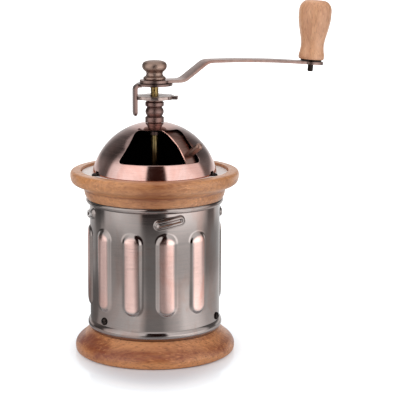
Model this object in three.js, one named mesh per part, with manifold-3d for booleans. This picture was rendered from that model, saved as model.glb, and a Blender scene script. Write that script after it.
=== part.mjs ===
// A hand cranked coffee grinder: a fluted copper canister on a turned wooden base, closed by a wooden ring
// that carries a domed hopper with a sliding window shutter, a conical burr set and a crank with a wooden grip.
// Millimetres, +Z up. The origin is on the table under the turning axis, and the hopper window faces -Y.
import * as THREE from "three";
import { mergeVertices } from "three/addons/utils/BufferGeometryUtils.js";
import Module from "manifold-3d";

const wasm = await Module();
wasm.setup();

// Sizes shared by several pieces
const seatGap = 0.3;
const sheetThickness = 1.0;
const fullTurn = Math.PI * 2;
const fineSides = 40;
const plainSides = 32;
const smallSides = 20;
const stemSides = 16;
const rodSides = 12;

// Wooden base
const baseOverhang = 10.65;
const baseHeight = 17.5;
const baseSpigotGap = 0.4;
const baseSpigotHeight = 13.4;
const baseSpigotChamfer = 0.8;

// Canister
const bodyRadius = 45.4;
const bodyHeight = 89.3;
const bodyRimReach = 2.5;
const bodyBeadReach = 1.6;
const bodyBeadHeight = 8.2;
const bodyFlareHeight = 3.6;
const floorLipHeight = 6.0;

// Pressed flutes and locking ramps of the canister
const fluteCount = 12;
const fluteTurnDegrees = 10;
const fluteHalfWidth = 7.6;
const fluteRelief = 1.9;
const fluteFootMargin = 16.2;
const fluteHeadMargin = 15.5;
const rampCount = 4;
const rampTurnDegrees = 12.7;
const rampHalfWidth = 2.7;
const rampLength = 22.4;
const rampDrop = 8.4;
const rampSlopeDegrees = 11.5;
const rampRelief = 1.5;

// Wooden ring
const ringOverhang = 13.2;
const ringHeight = 20.4;
const ringSeatGap = 0.4;
const ringWidth = 19.6;
const ringRimWidth = 7.4;
const ringPlateSeatDepth = 2.9;
const ringFlangeSeatWidth = 3.0;

// Locking collar under the ring
const collarSideGap = 0.6;
const collarHeight = 14.0;
const collarPinReach = 0.3;
const collarPinHalfWidth = 2.0;

// Plate, dome and window
const plateSideGap = 0.4;
const plateLip = 1.4;
const plateMargin = 7.7;
const domeBulge = 1.0;
const domeLandRadius = 7.5;
const windowTurnDegrees = 6.5;
const windowBottomShare = 0.646;
const windowTopShare = 0.399;
const windowRiseShare = 0.229;
const windowTopDrop = 3.4;
const windowCornerRadius = 3.4;

// Shutter
const shutterGap = 0.4;
const shutterEdgeOffset = 6.4;
const shutterEdgeDegrees = 46;
const shutterBackDegrees = 136;
const shutterEyeRadius = 9.6;
const shutterSkirt = 3.2;
const pegDegrees = 44;
const pegRiseDegrees = 36;
const pegRadius = 2.45;
const pegReach = 12.0;

// Stem and its nut
const stemRadius = 6.5;
const stemHeight = 15.6;
const stemSpigotRadius = 4.6;
const stemSpigotDepth = 9.0;
const nutAcross = 7.2;
const nutHeight = 3.2;

// Hopper funnel and burrs
const funnelThroatGap = 0.6;
const funnelHeight = 20.6;
const burrRingRadius = 21.8;
const burrRingHeight = 19.4;
const burrFlangeHeight = 3.6;
const burrFlangeReach = 4.2;
const burrLipWidth = 2.0;
const burrTaper = 1.5;
const burrRunningGap = 1.1;
const burrToothCount = 16;
const burrToothDepth = 1.1;
const coneTaper = 9.0;
const coneHeight = 21.0;
const coneFootBand = 4.0;
const coneFluteCount = 8;
const coneFluteRadius = 2.1;
const coneFluteSlopeDegrees = 26;
const coneFineCount = 12;
const coneFineRadius = 0.9;

// Bearing bridge, shaft, spring and lower nut
const bridgeHubRadius = 7.0;
const bridgeHubHeight = 6.0;
const bridgeArmWidth = 8.0;
const bridgeArmHeight = 3.0;
const bridgeSideReach = 3.8;
const bridgeLegThickness = 2.6;
const bridgeArmCount = 3;
const shaftRadius = 3.0;
const shaftTailLength = 9.0;
const springRadius = 5.0;
const springWire = 0.7;
const springTurns = 3.5;
const springHeight = 6.6;

// Adjusting disc and locking clip
const discRadius = 13.4;
const discThickness = 2.4;
const discNotchCount = 10;
const discNotchDepth = 1.2;
const discNotchWidth = 5.2;
const discEarLength = 2.9;
const discEarWidth = 5.4;
const discEarDegrees = -28;
const clipThickness = 1.6;
const clipPlateMargin = 0.2;
const clipNotchGap = 0.5;
const clipSideGap = 0.4;
const clipFingerThickness = 2.6;
const clipFingerLength = 22.2;
const clipHeight = 6.9;
const clipBend = 2.4;

// Crank, its nut, pin and grip
const crankRestDegrees = 18;
const crankThickness = 2.0;
const crankWidth = 13.6;
const crankHubRadius = 10.3;
const crankEyeRadius = 8.9;
const crankReach = 117.0;
const crankRise = 12.9;
const crankBendStart = 19.8;
const crankBendEnd = 37.4;
const crankCrestEnd = 60.0;
const crankDroopStart = 88.0;
const crankDroopMiddle = 1.1;
const crankDroop = 3.4;
const crankSoftBend = 3.2;
const crankLongBend = 9.0;
const capRadius = 8.6;
const capHeight = 13.2;
const capBoreDepth = 8.0;
const pinRadius = 2.0;
const pinHeadShare = 0.36;
const pinHeadHeight = 1.4;
const pinStubLength = 5.2;
const gripRadius = 11.95;
const gripHeight = 41.8;
const pinHeadSink = 0.2;
const gripWasherRadius = 7.6;
const gripWasherThickness = 0.9;

// Sizes across that follow from the sizes above
const baseRadius = bodyRadius + baseOverhang;
const bodyInner = bodyRadius - sheetThickness;
const bodyRimRadius = bodyRadius + bodyRimReach;
const bodyBeadRadius = bodyRadius + bodyBeadReach;
const baseSpigotRadius = bodyInner - baseSpigotGap;
const collarRadius = bodyInner - collarSideGap;
const ringRadius = bodyRadius + ringOverhang;
const ringBore = ringRadius - ringWidth;
const ringPlateSeatRadius = ringRadius - ringRimWidth;
const ringFlangeSeatRadius = ringBore + ringFlangeSeatWidth;
const ringFlangeSeatDepth = sheetThickness + seatGap;
const plateRadius = ringPlateSeatRadius - plateSideGap;
const plateBore = ringBore - plateLip;
const domeFootRadius = plateRadius - plateMargin;
const domeRadius = domeFootRadius + domeBulge;
const domeBore = stemSpigotRadius + seatGap;
const windowBottomHalfWidth = domeRadius * windowBottomShare;
const windowTopHalfWidth = domeRadius * windowTopShare;
const windowBottomRise = domeRadius * windowRiseShare;
const burrMouthRadius = burrRingRadius - burrLipWidth;
const burrExitRadius = burrMouthRadius - burrTaper;
const funnelThroat = burrMouthRadius + funnelThroatGap;
const funnelFootRadius = burrRingRadius + burrFlangeReach;
const coneFootRadius = burrExitRadius - burrRunningGap;
const coneTopRadius = coneFootRadius - coneTaper;
const bridgeReach = burrRingRadius + bridgeSideReach;
const discEarReach = discRadius + discEarLength;
const clipFingerInner = discRadius - discNotchDepth + clipNotchGap;
const clipPlateRadius = clipFingerInner - clipPlateMargin;
const clipFingerWidth = discNotchWidth - 2 * clipSideGap;
const pinHeadRadius = gripRadius * pinHeadShare;
const gripRecessDepth = pinHeadHeight + pinHeadSink;

// Heights that follow from the sizes above
const bodyBottom = baseHeight + seatGap;
const bodyTop = bodyBottom + bodyHeight;
const fluteBottom = bodyBottom + fluteFootMargin;
const fluteTop = bodyTop - fluteHeadMargin;
const rampMiddle = bodyTop - rampDrop;
const floorBottom = baseHeight + baseSpigotHeight + seatGap;
const ringBottom = bodyTop + ringSeatGap;
const ringTop = ringBottom + ringHeight;
const plateSeat = ringTop - ringPlateSeatDepth;
const plateBottom = plateSeat + seatGap;
const plateTop = plateBottom + sheetThickness;
const domeFoot = plateTop + seatGap;
const domeCentre = domeFoot - Math.sqrt(domeRadius ** 2 - domeFootRadius ** 2);
const domeLand = domeCentre + Math.sqrt(domeRadius ** 2 - domeLandRadius ** 2);
const windowBottom = domeFoot + windowBottomRise;
const windowHeight = domeLand - windowTopDrop - windowBottom;
const shutterRadius = domeRadius - sheetThickness - shutterGap;
const shutterInner = shutterRadius - sheetThickness;
const shutterLand = domeLand - sheetThickness - shutterGap;
const stemBottom = domeLand + seatGap;
const stemTop = stemBottom + stemHeight;
const nutTop = shutterLand - sheetThickness - seatGap;
const funnelTop = plateBottom - seatGap;
const funnelFoot = funnelTop - funnelHeight;
const burrTop = funnelFoot - seatGap;
const burrBottom = burrTop - burrRingHeight;
const coneFoot = burrBottom;
const coneTop = coneFoot + coneHeight;
const springTop = coneFoot - seatGap;
const bridgeTop = springTop - springHeight - seatGap;
const bridgeBottom = bridgeTop - bridgeHubHeight;
const shaftBottom = bridgeBottom - shaftTailLength;
const discBottom = stemTop + seatGap;
const clipBottom = discBottom + discThickness + clipHeight;
const crankBottom = clipBottom + clipThickness + seatGap;
const crankLevel = crankBottom + crankThickness / 2;
const capBottom = crankBottom + crankThickness + seatGap;
const shaftTop = capBottom + capBoreDepth - seatGap;
const boreRadius = shaftRadius + seatGap;
const crankEyeLevel = crankLevel + crankRise - crankDroop;
const crankEndSlope = Math.atan2(crankDroop - crankDroopMiddle, crankReach - crankDroopStart);

const radians = (degrees) => (degrees * Math.PI) / 180;

// Turns a closed three.js geometry into a solid; its faces are turned round if they point inwards.
function solidFrom(geometry) {
  const plain = geometry.clone();
  for (const name of Object.keys(plain.attributes)) if (name !== "position") plain.deleteAttribute(name);
  const merged = mergeVertices(plain);
  const at = merged.attributes.position;
  const corners = [];
  const index = merged.index.array;
  const a = new THREE.Vector3();
  const b = new THREE.Vector3();
  const c = new THREE.Vector3();
  let volume = 0;
  for (let i = 0; i < index.length; i += 3) {
    const [p, q, r] = [index[i], index[i + 1], index[i + 2]];
    if (p === q || q === r || r === p) continue;
    corners.push(p, q, r);
    volume += a.fromBufferAttribute(at, p).dot(b.fromBufferAttribute(at, q).cross(c.fromBufferAttribute(at, r)));
  }
  if (volume < 0) for (let i = 0; i < corners.length; i += 3) [corners[i], corners[i + 1]] = [corners[i + 1], corners[i]];
  return new wasm.Manifold(
    new wasm.Mesh({ numProp: 3, vertProperties: at.array, triVerts: new Uint32Array(corners) }),
  );
}

// The drawn mesh of a solid
function meshOf(name, solid, material) {
  const mesh = solid.getMesh();
  const geometry = new THREE.BufferGeometry();
  geometry.setAttribute("position", new THREE.BufferAttribute(Float32Array.from(mesh.vertProperties), 3));
  geometry.setIndex(new THREE.BufferAttribute(Uint32Array.from(mesh.triVerts), 1));
  geometry.computeVertexNormals();
  const drawn = new THREE.Mesh(geometry, material);
  drawn.name = name;
  return drawn;
}

// A turned solid about Z from a closed outline of [radius, height] pairs
function turned(outline, sides = plainSides) {
  const points = outline.map(([radius, height]) => new THREE.Vector2(radius, height));
  points.push(points[0].clone());
  return solidFrom(new THREE.LatheGeometry(points, sides).rotateX(Math.PI / 2));
}

// Real sizes from a table of shares of a radius and a height
function scaled(shares, radius, height, bottom) {
  return shares.map(([across, up]) => [across * radius, bottom + up * height]);
}

// A flat outline in X and Y raised along Z from bottom by height
function raised(shape, bottom, height, curveSegments = 12) {
  const geometry = new THREE.ExtrudeGeometry(shape, { depth: height, bevelEnabled: false, curveSegments });
  return solidFrom(geometry.translate(0, 0, bottom));
}

// A round post along Z
function post(radius, bottom, height, sides = smallSides) {
  return solidFrom(
    new THREE.CylinderGeometry(radius, radius, height, sides).rotateX(Math.PI / 2).translate(0, 0, bottom + height / 2),
  );
}

// A disc shaped outline, for arms and eyes
function circleShape(x, y, radius) {
  return new THREE.Shape().absarc(x, y, radius, 0, fullTurn);
}

// A rectangle between two corners
function boxShape(x0, y0, x1, y1) {
  return new THREE.Shape()
    .moveTo(x0, y0)
    .lineTo(x1, y0)
    .lineTo(x1, y1)
    .lineTo(x0, y1)
    .closePath();
}

// A long rounded pad laid on a cylinder, proud by relief and sunk by depth; its long axis leans by tilt from Z.
function wrappedPad({ seat, halfWidth, length, relief, depth, turn, middle, tilt, ends = 2, sides = 8 }) {
  const pad = new THREE.CapsuleGeometry(halfWidth, length - 2 * halfWidth, ends, sides, 1);
  pad.deleteAttribute("normal");
  pad.deleteAttribute("uv");
  pad.rotateZ(-tilt);
  const at = pad.attributes.position;
  for (let i = 0; i < at.count; i += 1) {
    const proud = at.getZ(i) / halfWidth;
    const radius = seat + (proud > 0 ? proud * relief : proud * depth);
    const angle = turn + at.getX(i) / seat;
    at.setXYZ(i, radius * Math.sin(angle), -radius * Math.cos(angle), middle + at.getY(i));
  }
  return solidFrom(pad);
}

// Materials
const lightWood = () => new THREE.MeshStandardMaterial({ color: 0xb98556, roughness: 0.5, metalness: 0 });
const darkWood = () => new THREE.MeshStandardMaterial({ color: 0x9a5f3c, roughness: 0.5, metalness: 0 });
const copper = () => new THREE.MeshStandardMaterial({ color: 0x8a6a60, roughness: 0.34, metalness: 0.9 });
const domeCopper = () => new THREE.MeshStandardMaterial({ color: 0x9a6f62, roughness: 0.28, metalness: 0.9 });
const steel = () => new THREE.MeshStandardMaterial({ color: 0xb9b4b0, roughness: 0.3, metalness: 0.9 });
const castSteel = () => new THREE.MeshStandardMaterial({ color: 0x6c6a68, roughness: 0.55, metalness: 0.8 });
const brass = () => new THREE.MeshStandardMaterial({ color: 0x8f7d3c, roughness: 0.35, metalness: 0.9 });
const black = () => new THREE.MeshStandardMaterial({ color: 0x1c1a1a, roughness: 0.45, metalness: 0.4 });

const root = new THREE.Group();

// Wooden base: a turned foot with a spigot that the canister is screwed to
const baseShares = [
  [0.957, 0.0],
  [0.985, 0.08],
  [1.0, 0.27],
  [0.9815, 0.5],
  [0.957, 0.62],
  [0.925, 0.744],
  [0.879, 0.867],
  [0.825, 1.0],
];
const baseFoot = scaled(baseShares, baseRadius, baseHeight, 0);
const woodBase = turned(
  [
    [0, 0],
    ...baseFoot,
    [baseSpigotRadius, baseHeight],
    [baseSpigotRadius, baseHeight + baseSpigotHeight - baseSpigotChamfer],
    [baseSpigotRadius - baseSpigotChamfer, baseHeight + baseSpigotHeight],
    [0, baseHeight + baseSpigotHeight],
  ],
  fineSides,
);
root.add(meshOf("wood_base", woodBase, darkWood()));

// Canister floor: a shallow tray that closes the canister above the base's spigot
const floorRadius = bodyInner - seatGap;
const canisterFloor = turned([
  [0, floorBottom],
  [floorRadius, floorBottom],
  [floorRadius, floorBottom + floorLipHeight],
  [floorRadius - sheetThickness, floorBottom + floorLipHeight],
  [floorRadius - sheetThickness, floorBottom + sheetThickness],
  [0, floorBottom + sheetThickness],
]);
root.add(meshOf("canister_floor", canisterFloor, steel()));

// Canister wall: sheet with a rolled bead at the foot, a flared rim, pressed flutes and four pressed ramps
const beadShares = [
  [0.0, 0.0],
  [0.62, 0.14],
  [1.0, 0.5],
  [0.62, 0.82],
  [0.0, 1.0],
];
const flareShares = [
  [0.0, 0.0],
  [0.46, 0.36],
  [1.0, 1.0],
];
const beadReach = bodyBeadRadius - bodyRadius;
const flareReach = bodyRimRadius - bodyRadius;
const flareBottom = bodyTop - bodyFlareHeight;
const wallLine = [
  ...beadShares.map(([out, up]) => [bodyRadius + out * beadReach, bodyBottom + up * bodyBeadHeight]),
  ...flareShares.map(([out, up]) => [bodyRadius + out * flareReach, flareBottom + up * bodyFlareHeight]),
];
const wallInside = wallLine.map(([radius, height]) => [radius - sheetThickness, height]).reverse();
const flutePads = { length: fluteTop - fluteBottom, middle: (fluteTop + fluteBottom) / 2, tilt: 0 };
const rampPads = { length: rampLength, middle: rampMiddle, tilt: radians(90 - rampSlopeDegrees) };
let canisterWall = turned([...wallLine, ...wallInside], fineSides);
for (let i = 0; i < fluteCount; i += 1) {
  const turn = radians(fluteTurnDegrees) + (fullTurn * i) / fluteCount;
  canisterWall = canisterWall
    .add(
      wrappedPad({
        ...flutePads,
        seat: bodyRadius,
        halfWidth: fluteHalfWidth,
        relief: fluteRelief,
        depth: sheetThickness / 2,
        turn,
      }),
    )
    .subtract(
      wrappedPad({
        ...flutePads,
        length: flutePads.length - 2 * sheetThickness,
        seat: bodyInner,
        halfWidth: fluteHalfWidth - sheetThickness,
        relief: fluteRelief,
        depth: sheetThickness,
        turn,
        ends: 1,
        sides: 6,
      }),
    );
}
for (let i = 0; i < rampCount; i += 1) {
  const turn = radians(rampTurnDegrees) + (fullTurn * i) / rampCount;
  canisterWall = canisterWall
    .add(
      wrappedPad({
        ...rampPads,
        seat: bodyRadius,
        halfWidth: rampHalfWidth,
        relief: rampRelief,
        depth: sheetThickness / 2,
        turn,
      }),
    )
    .subtract(
      wrappedPad({
        ...rampPads,
        length: rampPads.length - sheetThickness,
        seat: bodyInner,
        halfWidth: rampHalfWidth - sheetThickness / 2,
        relief: rampRelief,
        depth: sheetThickness,
        turn,
        ends: 1,
        sides: 6,
      }),
    );
}
root.add(meshOf("canister_wall", canisterWall, copper()));

// Wooden ring: two turned tiers, stepped inside for the plate and the funnel's flange
const ringShares = [
  [0.81, 0.0],
  [0.822, 0.06],
  [0.8305, 0.17],
  [0.836, 0.29],
  [0.863, 0.36],
  [0.914, 0.434],
  [0.951, 0.505],
  [0.986, 0.645],
  [1.0, 0.82],
  [0.995, 0.935],
  [0.965, 1.0],
];
const woodRing = turned(
  [
    [ringBore, ringBottom],
    ...scaled(ringShares, ringRadius, ringHeight, ringBottom),
    [ringPlateSeatRadius, ringTop],
    [ringPlateSeatRadius, plateSeat],
    [ringFlangeSeatRadius, plateSeat],
    [ringFlangeSeatRadius, plateSeat - ringFlangeSeatDepth],
    [ringBore, plateSeat - ringFlangeSeatDepth],
  ],
  fineSides,
);
root.add(meshOf("wood_ring", woodRing, lightWood()));

// Locking collar: a flanged skirt under the ring with four short pins that face the canister's ramps
const collarTop = ringBottom - seatGap;
let lockingCollar = turned([
  [ringBore, collarTop - sheetThickness],
  [collarRadius - sheetThickness, collarTop - sheetThickness],
  [collarRadius - sheetThickness, collarTop - collarHeight],
  [collarRadius, collarTop - collarHeight],
  [collarRadius, collarTop],
  [ringBore, collarTop],
]);
for (let i = 0; i < rampCount; i += 1) {
  lockingCollar = lockingCollar.add(
    wrappedPad({
      seat: collarRadius,
      halfWidth: collarPinHalfWidth,
      length: collarPinHalfWidth * 2.2,
      relief: collarPinReach,
      depth: sheetThickness / 2,
      turn: radians(rampTurnDegrees) + (fullTurn * i) / rampCount,
      middle: rampMiddle,
      tilt: 0,
    }),
  );
}
root.add(meshOf("locking_collar", lockingCollar, steel()));

// Top plate: the sheet ring let into the wood that the dome stands on
const topPlate = turned([
  [plateBore, plateBottom],
  [plateRadius, plateBottom],
  [plateRadius, plateTop],
  [plateBore, plateTop],
]);
root.add(meshOf("top_plate", topPlate, steel()));

// An arc of a sphere's outline, from low to high, as [radius, height] pairs
function sphereLine(radius, centre, lowRadius, highRadius, steps) {
  const low = Math.acos(lowRadius / radius);
  const high = Math.acos(highRadius / radius);
  const line = [];
  for (let i = 0; i <= steps; i += 1) {
    const rise = low + ((high - low) * i) / steps;
    line.push([radius * Math.cos(rise), centre + radius * Math.sin(rise)]);
  }
  return line;
}

// Dome: a spun shell with a flat land for the stem and one wide window
const domeSteps = 9;
const domeInnerRadius = domeRadius - sheetThickness;
const domeInnerFoot = Math.sqrt(domeInnerRadius ** 2 - (domeFoot - domeCentre) ** 2);
const domeShell = turned(
  [
    ...sphereLine(domeRadius, domeCentre, domeFootRadius, domeLandRadius, domeSteps),
    [domeBore, domeLand],
    [domeBore, domeLand - sheetThickness],
    ...sphereLine(domeInnerRadius, domeCentre, domeInnerFoot, domeLandRadius, domeSteps).reverse(),
  ],
  fineSides,
);
function windowShape() {
  const corners = [
    new THREE.Vector2(-windowBottomHalfWidth, windowBottom),
    new THREE.Vector2(windowBottomHalfWidth, windowBottom),
    new THREE.Vector2(windowTopHalfWidth, windowBottom + windowHeight),
    new THREE.Vector2(-windowTopHalfWidth, windowBottom + windowHeight),
  ];
  const shape = new THREE.Shape();
  corners.forEach((corner, i) => {
    const before = corners[(i + 3) % 4].clone().sub(corner).setLength(windowCornerRadius).add(corner);
    const after = corners[(i + 1) % 4].clone().sub(corner).setLength(windowCornerRadius).add(corner);
    if (i === 0) shape.moveTo(before.x, before.y);
    else shape.lineTo(before.x, before.y);
    shape.quadraticCurveTo(corner.x, corner.y, after.x, after.y);
  });
  return shape.closePath();
}
const windowCut = solidFrom(
  new THREE.ExtrudeGeometry(windowShape(), { depth: domeRadius, bevelEnabled: false, curveSegments: 5 })
    .rotateX(Math.PI / 2)
    .translate(0, -domeLandRadius, 0)
    .rotateZ(radians(windowTurnDegrees)),
);
root.add(meshOf("dome", domeShell.subtract(windowCut), domeCopper()));

// Shutter: an inner shell that turns under the dome about the stem and closes the window
const shutterLow = Math.sqrt(shutterRadius ** 2 - (windowBottom - shutterSkirt - domeCentre) ** 2);
const shutterInnerLow = Math.sqrt(shutterInner ** 2 - (windowBottom - shutterSkirt - domeCentre) ** 2);
const shutterShell = turned(
  [
    ...sphereLine(shutterRadius, domeCentre, shutterLow, domeLandRadius, domeSteps - 2),
    [domeBore, shutterLand],
    [domeBore, shutterLand - sheetThickness],
    ...sphereLine(shutterInner, domeCentre, shutterInnerLow, domeLandRadius, domeSteps - 2).reverse(),
  ],
);
const facing = (degrees, distance) => [
  distance * Math.sin(radians(degrees)),
  -distance * Math.cos(radians(degrees)),
];
function shutterOutline() {
  const [alongX, alongY] = facing(shutterEdgeDegrees, domeRadius);
  const [offX, offY] = facing(shutterEdgeDegrees - 90, shutterEdgeOffset);
  const [wideX, wideY] = facing((shutterEdgeDegrees + shutterBackDegrees) / 2, domeRadius * 2);
  const [backX, backY] = facing(shutterBackDegrees, domeRadius);
  return new THREE.Shape()
    .moveTo(offX, offY)
    .lineTo(alongX + offX, alongY + offY)
    .lineTo(wideX, wideY)
    .lineTo(backX, backY)
    .closePath();
}
const shutterSector = raised(shutterOutline(), windowBottom - shutterSkirt * 2, domeRadius);
const shutterEye = post(shutterEyeRadius, windowBottom - shutterSkirt * 2, domeRadius);
const shutter = shutterShell.intersect(shutterSector.add(shutterEye));
root.add(meshOf("shutter", shutter, domeCopper()));

// Peg of the shutter: a rounded pin that stands out through the window
const pegShares = [
  [0.0, 0.0],
  [1.0, 0.0],
  [1.0, 0.84],
  [0.82, 0.94],
  [0.45, 1.0],
  [0.0, 1.0],
];
const pegFoot = shutterRadius + seatGap;
const shutterPeg = meshOf("shutter_peg", turned(scaled(pegShares, pegRadius, pegReach, pegFoot), rodSides), copper());
const pegTilt = new THREE.Group();
pegTilt.add(shutterPeg);
pegTilt.rotation.set(Math.PI / 2 - radians(pegRiseDegrees), 0, 0);
const pegPlace = new THREE.Group();
pegPlace.add(pegTilt);
pegPlace.position.set(0, 0, domeCentre);
pegPlace.rotation.set(0, 0, radians(pegDegrees));
root.add(pegPlace);

// Stem: a turned bush on the dome with collars and a ball, bored for the shaft
const stemShares = [
  [1.0, 0.0],
  [1.0, 0.22],
  [0.86, 0.265],
  [0.93, 0.33],
  [0.985, 0.46],
  [0.93, 0.6],
  [0.86, 0.665],
  [0.95, 0.71],
  [1.0, 0.75],
  [1.0, 0.88],
  [0.86, 0.92],
  [0.86, 1.0],
];
const stemBush = turned(
  [
    [boreRadius, stemBottom - stemSpigotDepth],
    [stemSpigotRadius, stemBottom - stemSpigotDepth],
    [stemSpigotRadius, stemBottom],
    ...scaled(stemShares, stemRadius, stemHeight, stemBottom),
    [boreRadius, stemTop],
  ],
  stemSides,
);
root.add(meshOf("stem_bush", stemBush, copper()));

// Nut that holds the stem and carries the shutter's eye
const hexShape = (radius, bore) => {
  const shape = new THREE.Shape();
  for (let i = 0; i < 6; i += 1) {
    const [x, y] = [radius * Math.cos((fullTurn * i) / 6), radius * Math.sin((fullTurn * i) / 6)];
    if (i === 0) shape.moveTo(x, y);
    else shape.lineTo(x, y);
  }
  shape.closePath();
  shape.holes.push(new THREE.Path().absarc(0, 0, bore, 0, fullTurn));
  return shape;
};
root.add(
  meshOf("stem_nut", raised(hexShape(nutAcross, stemSpigotRadius + seatGap), nutTop - nutHeight, nutHeight), steel()),
);

// Hopper funnel: a flanged sheet cone from the plate down to the burrs
const funnelRim = ringBore - seatGap;
const hopperFunnel = turned([
  [funnelThroat, funnelFoot],
  [funnelFootRadius, funnelFoot],
  [funnelFootRadius, funnelFoot + sheetThickness],
  [funnelThroat + sheetThickness, funnelFoot + sheetThickness],
  [funnelRim, funnelTop - sheetThickness * 2],
  [funnelRim, funnelTop - sheetThickness],
  [ringFlangeSeatRadius - seatGap, funnelTop - sheetThickness],
  [ringFlangeSeatRadius - seatGap, funnelTop],
  [funnelRim - sheetThickness, funnelTop],
  [funnelRim - sheetThickness, funnelTop - sheetThickness * 2],
  [funnelThroat, funnelFoot + sheetThickness * 2],
]);
root.add(meshOf("hopper_funnel", hopperFunnel, steel()));

// Fixed burr: a flanged ring with straight teeth in its mouth
let fixedBurr = turned([
  [burrExitRadius, burrBottom],
  [burrRingRadius, burrBottom],
  [burrRingRadius, burrTop - burrFlangeHeight],
  [funnelFootRadius, burrTop - burrFlangeHeight],
  [funnelFootRadius, burrTop],
  [burrMouthRadius, burrTop],
]);
const toothLean = Math.atan2(burrMouthRadius - burrExitRadius, burrRingHeight);
for (let i = 0; i < burrToothCount; i += 1) {
  const groove = new THREE.CylinderGeometry(burrToothDepth, burrToothDepth, burrRingHeight * 1.2, 4)
    .rotateX(Math.PI / 2)
    .rotateX(toothLean)
    .translate(0, -(burrMouthRadius + burrExitRadius) / 2, burrBottom + burrRingHeight / 2)
    .rotateZ((fullTurn * i) / burrToothCount);
  fixedBurr = fixedBurr.subtract(solidFrom(groove));
}
root.add(meshOf("fixed_burr", fixedBurr, castSteel()));

// Turning burr: a cone with slanting feed flutes above a band of fine teeth
let coneBurr = turned([
  [boreRadius, coneFoot],
  [coneFootRadius, coneFoot],
  [coneFootRadius, coneFoot + coneFootBand],
  [coneTopRadius, coneTop],
  [boreRadius, coneTop],
]);
const coneLean = Math.atan2(coneFootRadius - coneTopRadius, coneHeight - coneFootBand);
const coneMiddle = (coneFootRadius + coneTopRadius) / 2;
for (let i = 0; i < coneFluteCount; i += 1) {
  const flute = new THREE.CylinderGeometry(coneFluteRadius, coneFluteRadius, coneHeight * 1.1, 6)
    .rotateX(Math.PI / 2)
    .rotateY(radians(coneFluteSlopeDegrees))
    .rotateX(-coneLean)
    .translate(0, -coneMiddle, coneFoot + coneFootBand + (coneHeight - coneFootBand) * 0.62)
    .rotateZ((fullTurn * i) / coneFluteCount);
  coneBurr = coneBurr.subtract(solidFrom(flute));
}
for (let i = 0; i < coneFineCount; i += 1) {
  const tooth = new THREE.CylinderGeometry(coneFineRadius, coneFineRadius, coneFootBand * 1.4, 4)
    .rotateX(Math.PI / 2)
    .translate(0, -coneFootRadius, coneFoot + coneFootBand / 2)
    .rotateZ((fullTurn * (i + 0.5)) / coneFineCount);
  coneBurr = coneBurr.subtract(solidFrom(tooth));
}
root.add(meshOf("cone_burr", coneBurr, castSteel()));

// Bearing bridge: a three legged spider under the burrs that steadies the shaft's lower end
let bridge = post(bridgeHubRadius, bridgeBottom, bridgeHubHeight);
const legHeight = burrTop - burrFlangeHeight - seatGap - bridgeBottom;
for (let i = 0; i < bridgeArmCount; i += 1) {
  const arm = boxShape(shaftRadius + seatGap * 2, -bridgeArmWidth / 2, bridgeReach, bridgeArmWidth / 2);
  const leg = boxShape(bridgeReach - bridgeLegThickness, -bridgeArmWidth / 2, bridgeReach, bridgeArmWidth / 2);
  for (const [shape, height] of [
    [arm, bridgeArmHeight],
    [leg, legHeight],
  ]) {
    const bar = new THREE.ExtrudeGeometry(shape, { depth: height, bevelEnabled: false })
      .translate(0, 0, bridgeBottom)
      .rotateZ((fullTurn * (i + 0.5)) / bridgeArmCount);
    bridge = bridge.add(solidFrom(bar));
  }
}
bridge = bridge.subtract(post(boreRadius, bridgeBottom - seatGap, bridgeHubHeight + seatGap * 2, rodSides));
root.add(meshOf("bearing_bridge", bridge, steel()));

// Crank assembly, turned to its rest position about the shaft
const crankGroup = new THREE.Group();
crankGroup.rotation.z = radians(crankRestDegrees);
root.add(crankGroup);

// Shaft: a long rod from the bridge to the cap nut
const shaftHeight = shaftTop - shaftBottom;
const shaftShares = [
  [0.0, 0.0],
  [0.8, 0.0],
  [1.0, 0.008],
  [1.0, 0.992],
  [0.8, 1.0],
  [0.0, 1.0],
];
root.add(meshOf("shaft", turned(scaled(shaftShares, shaftRadius, shaftHeight, shaftBottom), rodSides), brass()));

// Spring between the bridge and the turning burr
class SpringCurve extends THREE.Curve {
  getPoint(share, target = new THREE.Vector3()) {
    const angle = fullTurn * springTurns * share;
    const rise = springWire + (springHeight - 2 * springWire) * share;
    return target.set(springRadius * Math.cos(angle), springRadius * Math.sin(angle), bridgeTop + seatGap + rise);
  }
}
const springSection = circleShape(0, 0, springWire);
const springSteps = 24;
const spring = solidFrom(
  new THREE.ExtrudeGeometry(springSection, {
    steps: springSteps,
    extrudePath: new SpringCurve(),
    bevelEnabled: false,
    curveSegments: 3,
  }),
);
root.add(meshOf("burr_spring", spring, steel()));

// Collar and nut under the bridge that keep the shaft from rising out
root.add(
  meshOf(
    "lower_nut",
    raised(hexShape(nutAcross, boreRadius), bridgeBottom - seatGap - nutHeight, nutHeight),
    steel(),
  ),
);

// Adjusting disc: a notched wheel with one longer ear, on the shaft above the stem
let adjustingDisc = post(discRadius, discBottom, discThickness, plainSides);
const earShape = boxShape(0, -discEarWidth / 2, discEarReach, discEarWidth / 2);
const ear = new THREE.ExtrudeGeometry(earShape, { depth: discThickness, bevelEnabled: false })
  .translate(0, 0, discBottom)
  .rotateZ(radians(discEarDegrees));
for (let i = 0; i < discNotchCount; i += 1) {
  const inner = discRadius - discNotchDepth;
  const notchShape = boxShape(inner, -discNotchWidth / 2, discRadius * 2, discNotchWidth / 2);
  const notch = new THREE.ExtrudeGeometry(notchShape, { depth: discThickness * 2, bevelEnabled: false })
    .translate(0, 0, discBottom - discThickness / 2)
    .rotateZ(Math.PI + (fullTurn * i) / discNotchCount);
  adjustingDisc = adjustingDisc.subtract(solidFrom(notch));
}
adjustingDisc = adjustingDisc
  .add(solidFrom(ear))
  .subtract(post(boreRadius, discBottom - seatGap, discThickness + seatGap * 2, rodSides));
crankGroup.add(meshOf("adjusting_disc", adjustingDisc, copper()));

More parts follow.
